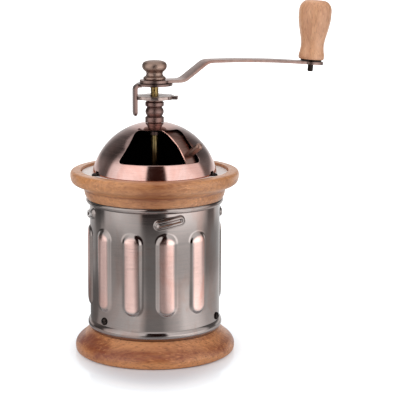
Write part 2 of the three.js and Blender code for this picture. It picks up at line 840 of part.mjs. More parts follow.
// Locking clip: a round plate under the crank with a finger that bends down into a notch of the disc
const fingerOuter = clipFingerInner + clipFingerThickness;
const clipTop = clipBottom + clipThickness;
const clipSide = new THREE.Shape()
  .moveTo(0, clipTop)
  .lineTo(0, clipBottom)
  .lineTo(-clipFingerInner + clipBend / 2, clipBottom)
  .quadraticCurveTo(-clipFingerInner, clipBottom, -clipFingerInner, clipBottom - clipBend / 2)
  .lineTo(-clipFingerInner, clipTop - clipFingerLength)
  .quadraticCurveTo(
    -clipFingerInner - clipFingerThickness / 2,
    clipTop - clipFingerLength - clipFingerThickness / 2,
    -fingerOuter,
    clipTop - clipFingerLength,
  )
  .lineTo(-fingerOuter, clipTop - clipBend)
  .quadraticCurveTo(-fingerOuter, clipTop, -fingerOuter + clipBend, clipTop)
  .closePath();
const clipTab = solidFrom(
  new THREE.ExtrudeGeometry(clipSide, { depth: clipFingerWidth, bevelEnabled: false, curveSegments: 5 })
    .rotateX(Math.PI / 2)
    .translate(0, clipFingerWidth / 2, 0),
);
const lockClip = post(clipPlateRadius, clipBottom, clipThickness, plainSides)
  .add(clipTab)
  .subtract(post(boreRadius, clipBottom - seatGap, clipThickness + seatGap * 2, rodSides));
crankGroup.add(meshOf("lock_clip", lockClip, copper()));

// Crank: a flat strap with two eyes, cut from a bent strip whose side line rises in an S and droops at its end
function bentLine(vertices, bends) {
  const line = new THREE.CurvePath();
  let from = vertices[0];
  vertices.slice(1, -1).forEach((corner, i) => {
    const before = vertices[i].clone().sub(corner).setLength(bends[i]).add(corner);
    const after = vertices[i + 2].clone().sub(corner).setLength(bends[i]).add(corner);
    line.add(new THREE.LineCurve(from, before));
    line.add(new THREE.QuadraticBezierCurve(before, corner, after));
    from = after;
  });
  line.add(new THREE.LineCurve(from, vertices[vertices.length - 1]));
  return line;
}
const crest = crankLevel + crankRise;
const crankEnd = crankReach + crankEyeRadius;
const endDroop = crankDroop + Math.tan(crankEndSlope) * crankEyeRadius;
const crankVertices = [
  new THREE.Vector2(-crankHubRadius, crankLevel),
  new THREE.Vector2(crankBendStart, crankLevel),
  new THREE.Vector2(crankBendEnd, crest),
  new THREE.Vector2(crankCrestEnd, crest),
  new THREE.Vector2(crankDroopStart, crest - crankDroopMiddle),
  new THREE.Vector2(crankEnd, crest - endDroop),
];
const crankLine = bentLine(crankVertices, [crankSoftBend, crankSoftBend, crankLongBend, crankLongBend]);
function strapShape(line, thickness, divisions) {
  const stations = [];
  line.curves.forEach((curve) => {
    const count = curve.isLineCurve ? 1 : divisions;
    for (let i = 0; i < count; i += 1) stations.push([curve.getPoint(i / count), curve.getTangent(i / count)]);
  });
  const last = line.curves[line.curves.length - 1];
  stations.push([last.getPoint(1), last.getTangent(1)]);
  const side = (sign) =>
    stations.map(([at, along]) =>
      new THREE.Vector2(-along.y, along.x).multiplyScalar((sign * thickness) / 2).add(at),
    );
  return new THREE.Shape([...side(1), ...side(-1).reverse()]);
}
const crankStrap = solidFrom(
  new THREE.ExtrudeGeometry(strapShape(crankLine, crankThickness, 5), {
    depth: crankHubRadius * 2,
    bevelEnabled: false,
  })
    .rotateX(Math.PI / 2)
    .translate(0, crankHubRadius, 0),
);
const planDepth = crankRise * 3;
const planBottom = crankLevel - crankRise;
const crankPlan = raised(boxShape(0, -crankWidth / 2, crankReach, crankWidth / 2), planBottom, planDepth)
  .add(raised(circleShape(0, 0, crankHubRadius), planBottom, planDepth, 18))
  .add(raised(circleShape(crankReach, 0, crankEyeRadius), planBottom, planDepth, 18));
const hubHole = post(boreRadius, planBottom, planDepth, rodSides);
const eyeHole = solidFrom(
  new THREE.CylinderGeometry(pinRadius + seatGap, pinRadius + seatGap, crankRise, rodSides)
    .rotateX(Math.PI / 2)
    .rotateY(crankEndSlope)
    .translate(crankReach, 0, crankEyeLevel),
);
const crank = crankStrap.intersect(crankPlan).subtract(hubHole).subtract(eyeHole);
crankGroup.add(meshOf("crank_arm", crank, copper()));

// Cap nut: a turned knob with a flange that clamps the crank on the shaft
const capShares = [
  [0.87, 0.0],
  [0.9, 0.06],
  [0.86, 0.14],
  [0.72, 0.21],
  [0.67, 0.29],
  [0.69, 0.38],
  [0.84, 0.46],
  [0.97, 0.57],
  [1.0, 0.69],
  [0.97, 0.81],
  [0.86, 0.9],
  [0.58, 0.97],
  [0.0, 1.0],
];
const capNut = turned(
  [
    [0, capBottom + capBoreDepth],
    [boreRadius, capBottom + capBoreDepth],
    [boreRadius, capBottom],
    ...scaled(capShares, capRadius, capHeight, capBottom),
  ],
  stemSides,
);
crankGroup.add(meshOf("cap_nut", capNut, copper()));

// Everything at the crank's far eye leans with the strap's end
const gripGroup = new THREE.Group();
gripGroup.position.set(crankReach, 0, crankEyeLevel);
gripGroup.rotation.y = crankEndSlope;
crankGroup.add(gripGroup);

// Washer between the eye and the grip
const washerBottom = crankThickness / 2 + seatGap;
const gripBottom = washerBottom + gripWasherThickness + seatGap;
const gripTop = gripBottom + gripHeight;
const pinBore = pinRadius + seatGap;
const gripWasher = turned(
  [
    [pinBore, washerBottom],
    [gripWasherRadius, washerBottom],
    [gripWasherRadius, washerBottom + gripWasherThickness],
    [pinBore, washerBottom + gripWasherThickness],
  ],
  smallSides,
);
gripGroup.add(meshOf("grip_washer", gripWasher, black()));

// Pin: a headed rivet through the grip and the eye, with a stub below
const pinHeadTop = gripTop - seatGap;
const pin = turned(
  [
    [0, -pinStubLength - crankThickness / 2],
    [pinRadius, -pinStubLength - crankThickness / 2],
    [pinRadius, pinHeadTop - pinHeadHeight],
    [pinHeadRadius, pinHeadTop - pinHeadHeight],
    [pinHeadRadius, pinHeadTop],
    [0, pinHeadTop],
  ],
  rodSides,
);
gripGroup.add(meshOf("grip_pin", pin, black()));

// Grip: a turned wooden knob, waisted towards the crank, bored for its pin
const gripShares = [
  [0.74, 0.0],
  [0.775, 0.035],
  [0.765, 0.08],
  [0.72, 0.14],
  [0.692, 0.24],
  [0.737, 0.345],
  [0.82, 0.45],
  [0.9, 0.555],
  [0.958, 0.66],
  [0.995, 0.76],
  [0.965, 0.865],
  [0.885, 0.92],
  [0.73, 0.97],
  [0.56, 0.995],
  [0.42, 1.0],
];
const recessRadius = pinHeadRadius + seatGap;
const grip = turned(
  [
    [pinBore, gripBottom],
    ...scaled(gripShares, gripRadius, gripHeight, gripBottom),
    [recessRadius, gripTop],
    [recessRadius, gripTop - gripRecessDepth - seatGap * 2],
    [pinBore, gripTop - gripRecessDepth - seatGap * 2],
  ],
  smallSides,
);
gripGroup.add(meshOf("grip", grip, lightWood()));

export default root;
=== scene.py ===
import math

import bmesh
import bpy
from mathutils import Matrix, Vector


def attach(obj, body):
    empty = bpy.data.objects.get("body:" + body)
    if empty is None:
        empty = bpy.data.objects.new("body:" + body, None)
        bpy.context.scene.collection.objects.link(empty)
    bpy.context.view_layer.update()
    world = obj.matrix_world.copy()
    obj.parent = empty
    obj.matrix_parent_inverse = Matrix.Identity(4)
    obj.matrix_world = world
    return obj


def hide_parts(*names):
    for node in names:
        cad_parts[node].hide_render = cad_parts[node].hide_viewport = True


# A hand cranked coffee grinder in antique copper and wood. Lengths are in millimetres and are turned to metres
# where a mesh is made. The turning axis is Z, and the hopper window faces -Y.
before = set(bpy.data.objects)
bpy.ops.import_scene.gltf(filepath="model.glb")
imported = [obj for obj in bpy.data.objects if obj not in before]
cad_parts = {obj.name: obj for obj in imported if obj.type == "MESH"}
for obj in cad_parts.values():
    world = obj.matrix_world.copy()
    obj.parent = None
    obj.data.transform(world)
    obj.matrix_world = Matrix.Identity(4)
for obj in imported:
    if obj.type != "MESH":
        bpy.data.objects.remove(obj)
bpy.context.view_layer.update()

MM = 0.001
TURN = math.tau
SEAT = 0.3
SHEET = 1.0

# Wooden base and canister
BASE_RADIUS = 56.05
BASE_HEIGHT = 16.5
SPIGOT_RADIUS = 44.0
SPIGOT_HEIGHT = 14.4
BODY_RADIUS = 45.4
BODY_BOTTOM = BASE_HEIGHT + SEAT
BODY_TOP = 108.5
RIM_RADIUS = 47.9
BEAD_RADIUS = 47.0
BEAD_HEIGHT = 6.8
ROLL_HEIGHT = 3.9
FLUTES = 12
FLUTE_TURN = math.radians(10)
PLAIN_TURN = math.radians(70)
FLUTE_HALF_WIDTH = 7.6
FLUTE_RELIEF = 1.9
FLUTE_CREST = 0.64
FLUTE_DOMING = 0.3
FLUTE_LOW = 33.2
FLUTE_HIGH = 91.3
RAMPS = 4
RAMP_TURN = math.radians(12.7)
RAMP_HALF_WIDTH = 3.9
RAMP_LENGTH = 22.4
RAMP_MIDDLE = 98.7
RAMP_SLOPE = math.radians(11.5)
RAMP_RELIEF = 1.7
RAMP_LIP = 0.5
RAMP_DENT = 0.75

# Wooden ring, plate and dome
RING_RADIUS = 58.6
RING_BOTTOM = 108.9
RING_HEIGHT = 19.2
RING_TOP = RING_BOTTOM + RING_HEIGHT
RING_BORE = 39.0
PLATE_SEAT_RADIUS = 51.2
PLATE_SEAT = RING_TOP - 3.1
FLANGE_SEAT_RADIUS = 42.0
FLANGE_SEAT_DEPTH = 1.3
PLATE_RADIUS = 50.8
PLATE_BORE = 37.6
PLATE_BOTTOM = PLATE_SEAT + SEAT
PLATE_TOP = PLATE_BOTTOM + SHEET
DOME_RADIUS = 44.1
DOME_FOOT_RADIUS = 43.1
DOME_FOOT = PLATE_TOP + SEAT
DOME_SKIRT = PLATE_TOP + 0.02
DOME_CENTRE = DOME_FOOT - math.sqrt(DOME_RADIUS**2 - DOME_FOOT_RADIUS**2)
LAND_RADIUS = 7.5
DOME_LAND = DOME_CENTRE + math.sqrt(DOME_RADIUS**2 - LAND_RADIUS**2)
DOME_BORE = 4.9
WINDOW_TURN = math.radians(6.5)
WINDOW_LOW_HALF = DOME_RADIUS * 0.646
WINDOW_HIGH_HALF = DOME_RADIUS * 0.345
WINDOW_SHIFT = 1.0
WINDOW_BOTTOM = DOME_FOOT + DOME_RADIUS * 0.229
WINDOW_HEIGHT = DOME_LAND - 3.4 - WINDOW_BOTTOM
WINDOW_CORNER = 3.4

# Shutter and its peg
SHUTTER_GAP = 0.4
SHUTTER_RADIUS = 40.0
SHUTTER_LAND = DOME_LAND - SHEET - SHUTTER_GAP
SHUTTER_CENTRE = SHUTTER_LAND - math.sqrt(SHUTTER_RADIUS**2 - LAND_RADIUS**2)
SHUTTER_LOW = WINDOW_BOTTOM - 3.2
SHUTTER_EDGE_OFFSET = 6.4
SHUTTER_EDGE = math.radians(46)
SHUTTER_BACK = math.radians(136)
SHUTTER_EYE_RADIUS = 9.6
PEG_TURN = math.radians(44)
PEG_RISE = math.radians(36)
PEG_RADIUS = 2.45
PEG_CROWN = 2.2
PEG_LENGTH = 12.0
PEG_FOOT = DOME_RADIUS - SHEET - SHUTTER_GAP - 3.0
PEG_TIP = DOME_RADIUS - SHEET - SHUTTER_GAP + SEAT + PEG_LENGTH

# Stem, shaft, disc and clip
STEM_RADIUS = 6.5
STEM_HEIGHT = 15.6
STEM_BOTTOM = DOME_LAND + SEAT
STEM_TOP = STEM_BOTTOM + STEM_HEIGHT
STEM_SPIGOT_RADIUS = 4.6
STEM_SPIGOT_DEPTH = 9.0
SHAFT_RADIUS = 3.0
SHAFT_BOTTOM = 62.5
BORE = SHAFT_RADIUS + SEAT
THREAD_PITCH = 1.0
THREAD_DEPTH = 0.45
DISC_BOTTOM = STEM_TOP + SEAT
DISC_THICKNESS = 2.4
DISC_RADIUS = 13.4
DISC_NOTCHES = 10
NOTCH_DEPTH = 1.2
NOTCH_WIDTH = 5.2
EAR_REACH = 16.3
EAR_WIDTH = 5.4
EAR_TURN = math.radians(-28)
CLIP_BOTTOM = DISC_BOTTOM + DISC_THICKNESS + 6.9
CLIP_THICKNESS = 1.6
CLIP_PLATE_RADIUS = 12.5
FINGER_INNER = 12.7
FINGER_THICKNESS = 2.6
FINGER_WIDTH = 4.4
FINGER_LENGTH = 22.2

# Crank, cap nut, pin and grip
CRANK_REST = math.radians(18)
CRANK_BOTTOM = CLIP_BOTTOM + CLIP_THICKNESS + SEAT
CRANK_THICKNESS = 2.0
CRANK_LEVEL = CRANK_BOTTOM + CRANK_THICKNESS / 2
CRANK_WIDTH = 13.6
CRANK_HUB_RADIUS = 10.3
CRANK_EYE_RADIUS = 8.9
CRANK_REACH = 117.0
CRANK_RISE = 12.9
CRANK_DROOP = 3.4
CRANK_BREAK = 88.0
CRANK_BREAK_DROOP = 1.1
EYE_LEVEL = CRANK_LEVEL + CRANK_RISE - CRANK_DROOP
EYE_SLOPE = math.atan2(CRANK_DROOP - CRANK_BREAK_DROOP, CRANK_REACH - CRANK_BREAK)
CAP_BOTTOM = CRANK_BOTTOM + CRANK_THICKNESS + SEAT
CAP_RADIUS = 8.6
CAP_HEIGHT = 13.2
CAP_BORE_DEPTH = 8.0
SHAFT_TOP = CAP_BOTTOM + CAP_BORE_DEPTH - SEAT
PIN_RADIUS = 2.0
PIN_HEAD_RADIUS = 4.3
PIN_HEAD_HEIGHT = 1.4
PIN_HEAD_FLAT = 1.6
PIN_STUB = 5.2
WASHER_RADIUS = 7.6
WASHER_THICKNESS = 0.9
GRIP_RADIUS = 11.95
GRIP_HEIGHT = 41.8
GRIP_BOTTOM = CRANK_THICKNESS / 2 + WASHER_THICKNESS + 2 * SEAT
GRIP_TOP = GRIP_BOTTOM + GRIP_HEIGHT - 0.05
GRIP_RECESS = 1.6

# Hopper funnel and locking collar
FUNNEL_TOP = PLATE_BOTTOM - SEAT
FUNNEL_FOOT = FUNNEL_TOP - 20.6
FUNNEL_THROAT = 20.4
FUNNEL_FOOT_RADIUS = 26.0
COLLAR_RADIUS = 43.8
COLLAR_HEIGHT = 14.0
COLLAR_PIN_RADIUS = 2.0
COLLAR_PIN_REACH = 0.3

# Small dome headed screws
SCREW_RADIUS = 2.7
SCREW_HEIGHT = 1.9
CROSS_REACH = 1.5
CROSS_HALF_WIDTH = 0.3
CROSS_DEPTH = 0.7
BODY_SCREW_LEVEL = 26.8
BODY_SCREW_TURNS = (-50, 70, 190)
DOME_SCREW_CIRCLE = 43.8
DOME_SCREW_TURNS = (-67, 67, 180)


# Drawing and shaping


def leave_edit_mode():
    if bpy.context.object and bpy.context.object.mode != "OBJECT":
        bpy.ops.object.mode_set(mode="OBJECT")


def choose(piece):
    """Makes one object the only selected one."""
    leave_edit_mode()
    bpy.ops.object.select_all(action="DESELECT")
    piece.select_set(True)
    bpy.context.view_layer.objects.active = piece


def deselect():
    leave_edit_mode()
    bpy.ops.object.select_all(action="DESELECT")


def add_shape(name, add, **settings):
    """Adds one of Blender's simple shapes under a name."""
    deselect()
    add(**settings)
    bpy.context.object.name = name
    return bpy.context.object


def select(action="SELECT"):
    bpy.ops.mesh.select_all(action=action)


def extrude(x, y, z):
    """In edit mode, draws out what is selected by a step in millimetres."""
    bpy.ops.mesh.extrude_region_move(TRANSFORM_OT_translate={"value": (x * MM, y * MM, z * MM)})


def edit(piece, kind="VERT"):
    choose(piece)
    bpy.ops.object.mode_set(mode="EDIT")
    bpy.ops.mesh.select_mode(type=kind)


def edit_all(piece):
    edit(piece)
    select()


def pick(piece, test):
    """In edit mode, selects the vertices whose place in millimetres passes a test."""
    select("DESELECT")
    mesh = bmesh.from_edit_mesh(piece.data)
    for vertex in mesh.verts:
        vertex.select = bool(test(vertex.co / MM))
    mesh.select_flush(True)
    bmesh.update_edit_mesh(piece.data)


def modify(piece, kind, **settings):
    """Gives a piece a modifier and applies it."""
    modifier = piece.modifiers.new(kind.lower(), kind)
    for name, value in settings.items():
        setattr(modifier, name, value)
    choose(piece)
    bpy.ops.object.modifier_apply(modifier=modifier.name)
    return piece


def settle(piece):
    """Moves the place, turn and size of an object into its mesh."""
    choose(piece)
    bpy.ops.object.transform_apply(location=True, rotation=True, scale=True)


def tidy_faces(piece):
    edit_all(piece)
    bpy.ops.mesh.remove_doubles(threshold=0.002 * MM)
    bpy.ops.mesh.normals_make_consistent(inside=False)
    leave_edit_mode()


def flip(piece):
    edit_all(piece)
    bpy.ops.mesh.flip_normals()
    leave_edit_mode()


def face_out(piece):
    """Makes an open turned skin face away from the axis."""
    leave_edit_mode()
    first = piece.data.polygons[0]
    if first.normal.x * first.center.x + first.normal.y * first.center.y < 0:
        flip(piece)


def draw_line(name, points):
    """Draws an open line of edges through [x, y, z] points."""
    piece = add_shape(name, bpy.ops.mesh.primitive_plane_add, size=MM, location=[v * MM for v in points[0]])
    settle(piece)
    edit_all(piece)
    bpy.ops.mesh.merge(type="CENTER")
    for start, end in zip(points, points[1:]):
        extrude(*[b - a for a, b in zip(start, end)])
    return piece


def draw(name, outline):
    """Draws an open line of edges through [x, z] points in the XZ plane."""
    return draw_line(name, [(x, 0, z) for x, z in outline])


def turn(name, outline, sides):
    """Draws an outline and spins it about Z into a turned piece, which is closed if the outline is."""
    piece = draw(name, outline)
    select()
    bpy.ops.mesh.spin(steps=sides, angle=TURN, center=(0, 0, 0), axis=(0, 0, 1))
    tidy_faces(piece)
    return piece


def cylinder(name, radius, low, high, sides):
    size = {"radius": radius * MM, "depth": (high - low) * MM, "location": (0, 0, (low + high) / 2 * MM)}
    piece = add_shape(name, bpy.ops.mesh.primitive_cylinder_add, vertices=sides, **size)
    settle(piece)
    return piece


def block(name, low, high, angle=0.0):
    """A box between two corners, turned about Z; it serves as a cutter or as a start."""
    middle = [(a + b) / 2 * MM for a, b in zip(low, high)]
    piece = add_shape(name, bpy.ops.mesh.primitive_cube_add, size=1, location=middle)
    piece.scale = [(b - a) * MM for a, b in zip(low, high)]
    settle(piece)
    spun(piece, angle)
    return piece


def spun(piece, angle):
    """Turns a piece about the Z axis."""
    piece.rotation_euler = (0, 0, angle)
    settle(piece)
    return piece


def placed(piece, matrix):
    piece.matrix_world = matrix
    settle(piece)
    return piece


def combine(piece, other, operation="DIFFERENCE"):
    modify(piece, "BOOLEAN", operation=operation, object=other, solver="EXACT")
    bpy.data.objects.remove(other)
    return piece


def thicken(piece, thickness, offset):
    return modify(piece, "SOLIDIFY", thickness=thickness * MM, offset=offset, use_even_offset=True)


def soften(piece, width, segments, angle):
    """Eases the sharp edges of a piece."""
    limit = {"limit_method": "ANGLE", "angle_limit": math.radians(angle), "use_clamp_overlap": True}
    return modify(piece, "BEVEL", width=width * MM, segments=segments, **limit)


def fit(piece, body, slot, material, *nodes, smooth=42):
    """Shades a finished piece, gives it its finish and sets it on the body that carries it."""
    choose(piece)
    bpy.ops.object.shade_smooth_by_angle(angle=math.radians(smooth))
    if len(piece.data.materials) < 2:
        piece.data.materials.clear()
        piece.data.materials.append(material)
    else:
        piece.data.materials[0] = material
    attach(piece, body)
    if nodes:
        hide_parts(*nodes)
    return piece


def curve_through(points, steps):
    """A smooth line through points, with a few steps between each pair."""
    line = []
    for i in range(len(points) - 1):
        p0 = Vector(points[max(i - 1, 0)])
        p1, p2 = Vector(points[i]), Vector(points[i + 1])
        p3 = Vector(points[min(i + 2, len(points) - 1)])
        for t in [k / steps for k in range(steps)]:
            near, bend = (p2 - p0) * t, (2 * p0 - 5 * p1 + 4 * p2 - p3) * t**2
            line.append(tuple(0.5 * (2 * p1 + near + bend + (3 * p1 - p0 - 3 * p2 + p3) * t**3)))
    line.append(tuple(points[-1]))
    return line


def eased(points, radius):
    """An outline with each inner corner rounded by a small radius."""
    line = [points[0]]
    for before, corner, after in zip(points, points[1:], points[2:]):
        b, c, a = Vector(before), Vector(corner), Vector(after)
        reach = min(radius, (b - c).length * 0.45, (a - c).length * 0.45)
        start = c + (b - c).normalized() * reach
        end = c + (a - c).normalized() * reach
        line += [tuple(start * (1 - t) ** 2 + c * 2 * t * (1 - t) + end * t**2) for t in (0, 1 / 3, 2 / 3, 1)]
    line.append(points[-1])
    return line


def shares(table, radius, height, bottom):
    return [(across * radius, bottom + up * height) for across, up in table]


def within(outline, radius):
    """An outline that nowhere passes a radius."""
    return [(min(x, radius), z) for x, z in outline]


def arc(radius, centre, low_radius, high_radius, steps):
    """An arc of a sphere's outline from low to high."""
    low, high = math.acos(low_radius / radius), math.acos(high_radius / radius)
    angles = [low + (high - low) * i / steps for i in range(steps + 1)]
    return [(radius * math.cos(a), centre + radius * math.sin(a)) for a in angles]


def facing(angle, distance):
    return distance * math.sin(angle), -distance * math.cos(angle)


# Finishes

WOOD_GLOSS = 0.34
WOOD_COAT = 0.32
WOOD_COAT_ROUGHNESS = 0.24
TARNISH = (0.92, 0.68, 0.6, 1.0)
FLOOR_GLOW = 1.65


def tone(red, green, blue):
    """A colour as it is seen, as the numbers that a shader takes."""
    values = [v / 255 for v in (red, green, blue)]
    return tuple(v / 12.92 if v <= 0.04045 else ((v + 0.055) / 1.055) ** 2.4 for v in values) + (1.0,)


def dimmed(colour, share):
    return tuple(v * share for v in colour[:3]) + (1.0,)


class Nodes:
    """A node tree that is built node by node."""

    def __init__(self, owner, output):
        owner.use_nodes = True
        self.nodes, self.links = owner.node_tree.nodes, owner.node_tree.links
        self.nodes.clear()
        self.output = self.nodes.new(output)

    def add(self, kind, inputs=None, **settings):
        node = self.nodes.new(kind)
        for name, value in settings.items():
            setattr(node, name, value)
        for name, value in (inputs or {}).items():
            self.put(node, name, value)
        return node

    def put(self, node, name, value):
        if isinstance(value, bpy.types.NodeSocket):
            self.links.new(value, node.inputs[name])
        else:
            node.inputs[name].default_value = value

    def sum(self, operation, a, b, clamp=False):
        node = self.add("ShaderNodeMath", operation=operation, use_clamp=clamp)
        self.put(node, 0, a)
        self.put(node, 1, b)
        return node.outputs[0]

    def mix(self, share, a, b):
        return self.add("ShaderNodeMixShader", {0: share, 1: a, 2: b}).outputs[0]

    def end(self, shader):
        self.links.new(shader, self.output.inputs["Surface"])


class Finish(Nodes):
    """A surface material."""

    def __init__(self, name):
        self.material = bpy.data.materials.new(name)
        super().__init__(self.material, "ShaderNodeOutputMaterial")
        self.shader = self.add("ShaderNodeBsdfPrincipled")
        self.end(self.shader.outputs[0])
        self.place = self.add("ShaderNodeTexCoord").outputs["Object"]
        self.facing = self.add("ShaderNodeTexCoord").outputs["Normal"]

    def set(self, **values):
        for name, value in values.items():
            self.put(self.shader, name.replace("_", " "), value)

    def mapped(self, scale=(1, 1, 1), turn=(0, 0, 0), move=(0, 0, 0)):
        return self.add(
            "ShaderNodeMapping", {"Vector": self.place, "Scale": scale, "Rotation": turn, "Location": move}
        ).outputs[0]

    def noise(self, vector, size, detail=2.0, rough=0.5, bend=0.0):
        """Noise whose clouds are about size millimetres across."""
        inputs = {"Vector": vector, "Scale": 1000 / size, "Detail": detail, "Roughness": rough, "Distortion": bend}
        return self.add("ShaderNodeTexNoise", inputs).outputs[0]

    def spread(self, value, low, high, to_low=0.0, to_high=1.0, smooth=True):
        inputs = {0: value, 1: low, 2: high, 3: to_low, 4: to_high}
        kind = "SMOOTHSTEP" if smooth else "LINEAR"
        return self.add("ShaderNodeMapRange", inputs, interpolation_type=kind).outputs[0]

    def blend(self, share, a, b, way="MIX"):
        node = self.add("ShaderNodeMix", data_type="RGBA", blend_type=way)
        self.put(node, 0, share)
        self.put(node, 6, a)
        self.put(node, 7, b)
        return node.outputs[2]

    def part(self, vector, axis):
        return self.add("ShaderNodeSeparateXYZ", {0: vector}).outputs[axis]

    def radius(self, vector=None):
        """Distance from the Z axis, in millimetres."""
        flat = self.add("ShaderNodeVectorMath", {0: vector or self.place, 1: (1000, 1000, 0)}, operation="MULTIPLY")
        return self.add("ShaderNodeVectorMath", {0: flat.outputs[0]}, operation="LENGTH").outputs["Value"]

    def height(self):
        """Height above the table, in millimetres."""
        return self.sum("MULTIPLY", self.part(self.place, 2), 1000.0)

    def bump(self, height, depth, strength):
        inputs = {"Height": height, "Distance": depth * MM, "Strength": strength}
        return self.add("ShaderNodeBump", inputs).outputs[0]


def antique_copper(name, patina, bare, worn, roughness, cloud=0.06, brush=0.06, brushing=(1, 1, 60)):
    """Copper plate that was blackened and brushed back; worn(finish) gives where the bare copper shows."""
    f = Finish(name)
    patina, bare = tone(*patina), tone(*bare)
    lines = f.noise(f.mapped(brushing), 34.0, 3.0, 0.62)
    clouds = f.noise(f.mapped(), 24.0, 3.0, 0.6, 0.6)
    dust = f.noise(f.mapped(), 1.6, 2.0, 0.6)
    bared = f.sum("ADD", f.spread(clouds, 0.3, 0.72, -cloud, cloud), worn(f))
    bared = f.sum("ADD", bared, f.spread(lines, 0.3, 0.7, -brush, brush), clamp=True)
    shade = f.blend(bared, patina, bare)
    tarnish = f.noise(f.mapped((1, 1, 0.5), move=(0.21, 0.13, 0.05)), 26.0, 3.0, 0.6, 0.8)
    shade = f.blend(f.spread(tarnish, 0.46, 0.7, 0.0, 0.6), shade, TARNISH, "MULTIPLY")
    shade = f.blend(f.spread(lines, 0.52, 0.75, 0.0, 0.3), shade, dimmed(patina, 0.6))
    shade = f.blend(f.spread(dust, 0.55, 0.8, 0.0, 0.05), shade, dimmed(patina, 0.4))
    level = f.spread(bared, 0.0, 1.0, roughness[0], roughness[1], smooth=False)
    level = f.sum("ADD", level, f.spread(lines, 0.2, 0.8, -0.03, 0.05), clamp=True)
    scratch = f.bump(lines, 0.003, 0.4)
    f.set(Base_Color=shade, Roughness=level, Metallic=1.0, Normal=scratch)
    return f.material


def turned_wood(name, pale, deep, pore, grain_axis, ring_size, pores, flecks, seed, layers=None):
    """Varnished hardwood: growth rings, fibres along one axis, mottle, open pores and short pale flecks."""
    f = Finish(name)
    pale, deep, pore = tone(*pale), tone(*deep), tone(*pore)
    along, fibre, short = (
        [stretch if axis == grain_axis else 1.0 for axis in range(3)] for stretch in (0.16, 0.055, 0.22)
    )
    move = (0.031 + seed, 0.012 - seed, -0.085 + seed)
    sway = f.noise(f.mapped(along, move=move), 34.0, 3.0, 0.55, 0.5)
    heart = f.mapped(along, (0.06, 0.05, 0.09), move)
    drift = f.add("ShaderNodeCombineXYZ", {0: f.sum("MULTIPLY", sway, 0.02), 1: f.sum("MULTIPLY", sway, 0.03)})
    bent = f.add("ShaderNodeVectorMath", {0: heart, 1: drift.outputs[0]}, operation="ADD")
    rings = f.add(
        "ShaderNodeTexWave",
        {
            "Vector": bent.outputs[0],
            "Scale": 1000 / ring_size / 6.5,
            "Distortion": 1.4,
            "Detail": 2.0,
            "Detail Scale": 1.6,
        },
        wave_type="RINGS",
        rings_direction="XYZ"[grain_axis],
        wave_profile="SAW",
    ).outputs[1]
    fine = f.noise(f.mapped(fibre, move=move), 1.5, 3.0, 0.6)
    mottle = f.noise(f.mapped(short, move=move), 2.2, 3.0, 0.65, 0.4)
    broad = f.noise(f.mapped(along), 26.0, 3.0, 0.6, 1.2)
    depth = f.sum("ADD", f.sum("MULTIPLY", rings, 0.24), f.sum("MULTIPLY", fine, 0.3))
    depth = f.sum("ADD", depth, f.spread(mottle, 0.32, 0.68, -0.16, 0.2))
    if layers:
        depth = f.sum("ADD", depth, layers(f, sway))
    depth = f.sum("ADD", depth, f.spread(broad, 0.25, 0.75, -0.14, 0.22), clamp=True)
    shade = f.blend(depth, pale, deep)
    pits = f.noise(f.mapped(short, move=move), 0.85, 1.0, 0.5)
    open_pores = f.spread(pits, 0.56, 0.68, 0.0, pores)
    shade = f.blend(open_pores, shade, pore)
    shine = f.noise(f.mapped(short), 1.3, 2.0, 0.5)
    patch = f.spread(f.noise(f.mapped(), 22.0, 2.0, 0.5), 0.4, 0.62)
    pale_flecks = f.sum("MULTIPLY", f.spread(shine, 0.54, 0.68, 0.0, flecks), patch)
    shade = f.blend(pale_flecks, shade, tuple(min(1.0, v * 1.5 + 0.04) for v in pale[:3]) + (1.0,))
    level = f.spread(broad, 0.3, 0.7, WOOD_GLOSS - 0.05, WOOD_GLOSS + 0.08)
    level = f.sum("ADD", level, f.sum("MULTIPLY", open_pores, 0.3), clamp=True)
    dents = f.bump(f.sum("SUBTRACT", fine, f.sum("MULTIPLY", open_pores, 1.5)), 0.06, 0.5)
    f.set(Base_Color=shade, Roughness=level, Normal=dents, Coat_Weight=WOOD_COAT, Coat_Roughness=WOOD_COAT_ROUGHNESS)
    return f.material


def base_layers(f, sway):
    """Paler wood at the table, a painted bounce light from the floor; a red heartwood band above it; plainer wood at
    the shoulder; and the left side darker low down, as painted shade.
    """
    level = f.sum("ADD", f.height(), f.spread(sway, 0.3, 0.7, -3.0, 3.0))
    red = f.sum("MULTIPLY", f.spread(level, 3.5, 7.5, 0.0, 0.42), f.spread(level, 13.5, 9.0))
    # Painted shade: the left side of the base is darker, most of all low down, where less light falls.
    side = f.spread(f.part(f.place, 0), -0.048, 0.004, 0.4, 0.0)
    side = f.sum("MULTIPLY", side, f.spread(level, 15.0, 9.0, 0.2, 1.0))
    # Painted light: the wood is paler near the table, standing in for light bounced up from the floor.
    painted_floor_bounce = f.spread(level, 2.0, 6.5, -0.5, -0.1)
    return f.sum("ADD", f.sum("ADD", red, side), painted_floor_bounce)


def ring_layers(f, sway):
    """A band a little deeper in colour runs through the middle in x, with paler wood to the sides, as painted shade on
    the ring's front; the step between the tiers is darker, also painted shade.
    """
    # Painted shade: deeper colour through the middle in x for the ring's darker front centre; heart here is not
    # heartwood.
    heart = f.spread(f.sum("ABSOLUTE", f.part(f.place, 0), 0.0), 0.0, 0.028, 0.2, -0.1)
    # Painted shade: darker wood at the step between the tiers, in the shadow under the upper tier.
    off_step = f.sum("ABSOLUTE", f.sum("SUBTRACT", f.height(), RING_BOTTOM + RING_HEIGHT * 0.35), 0.0)
    return f.sum("ADD", heart, f.spread(off_step, 0.2, 1.6, 0.4, 0.0))


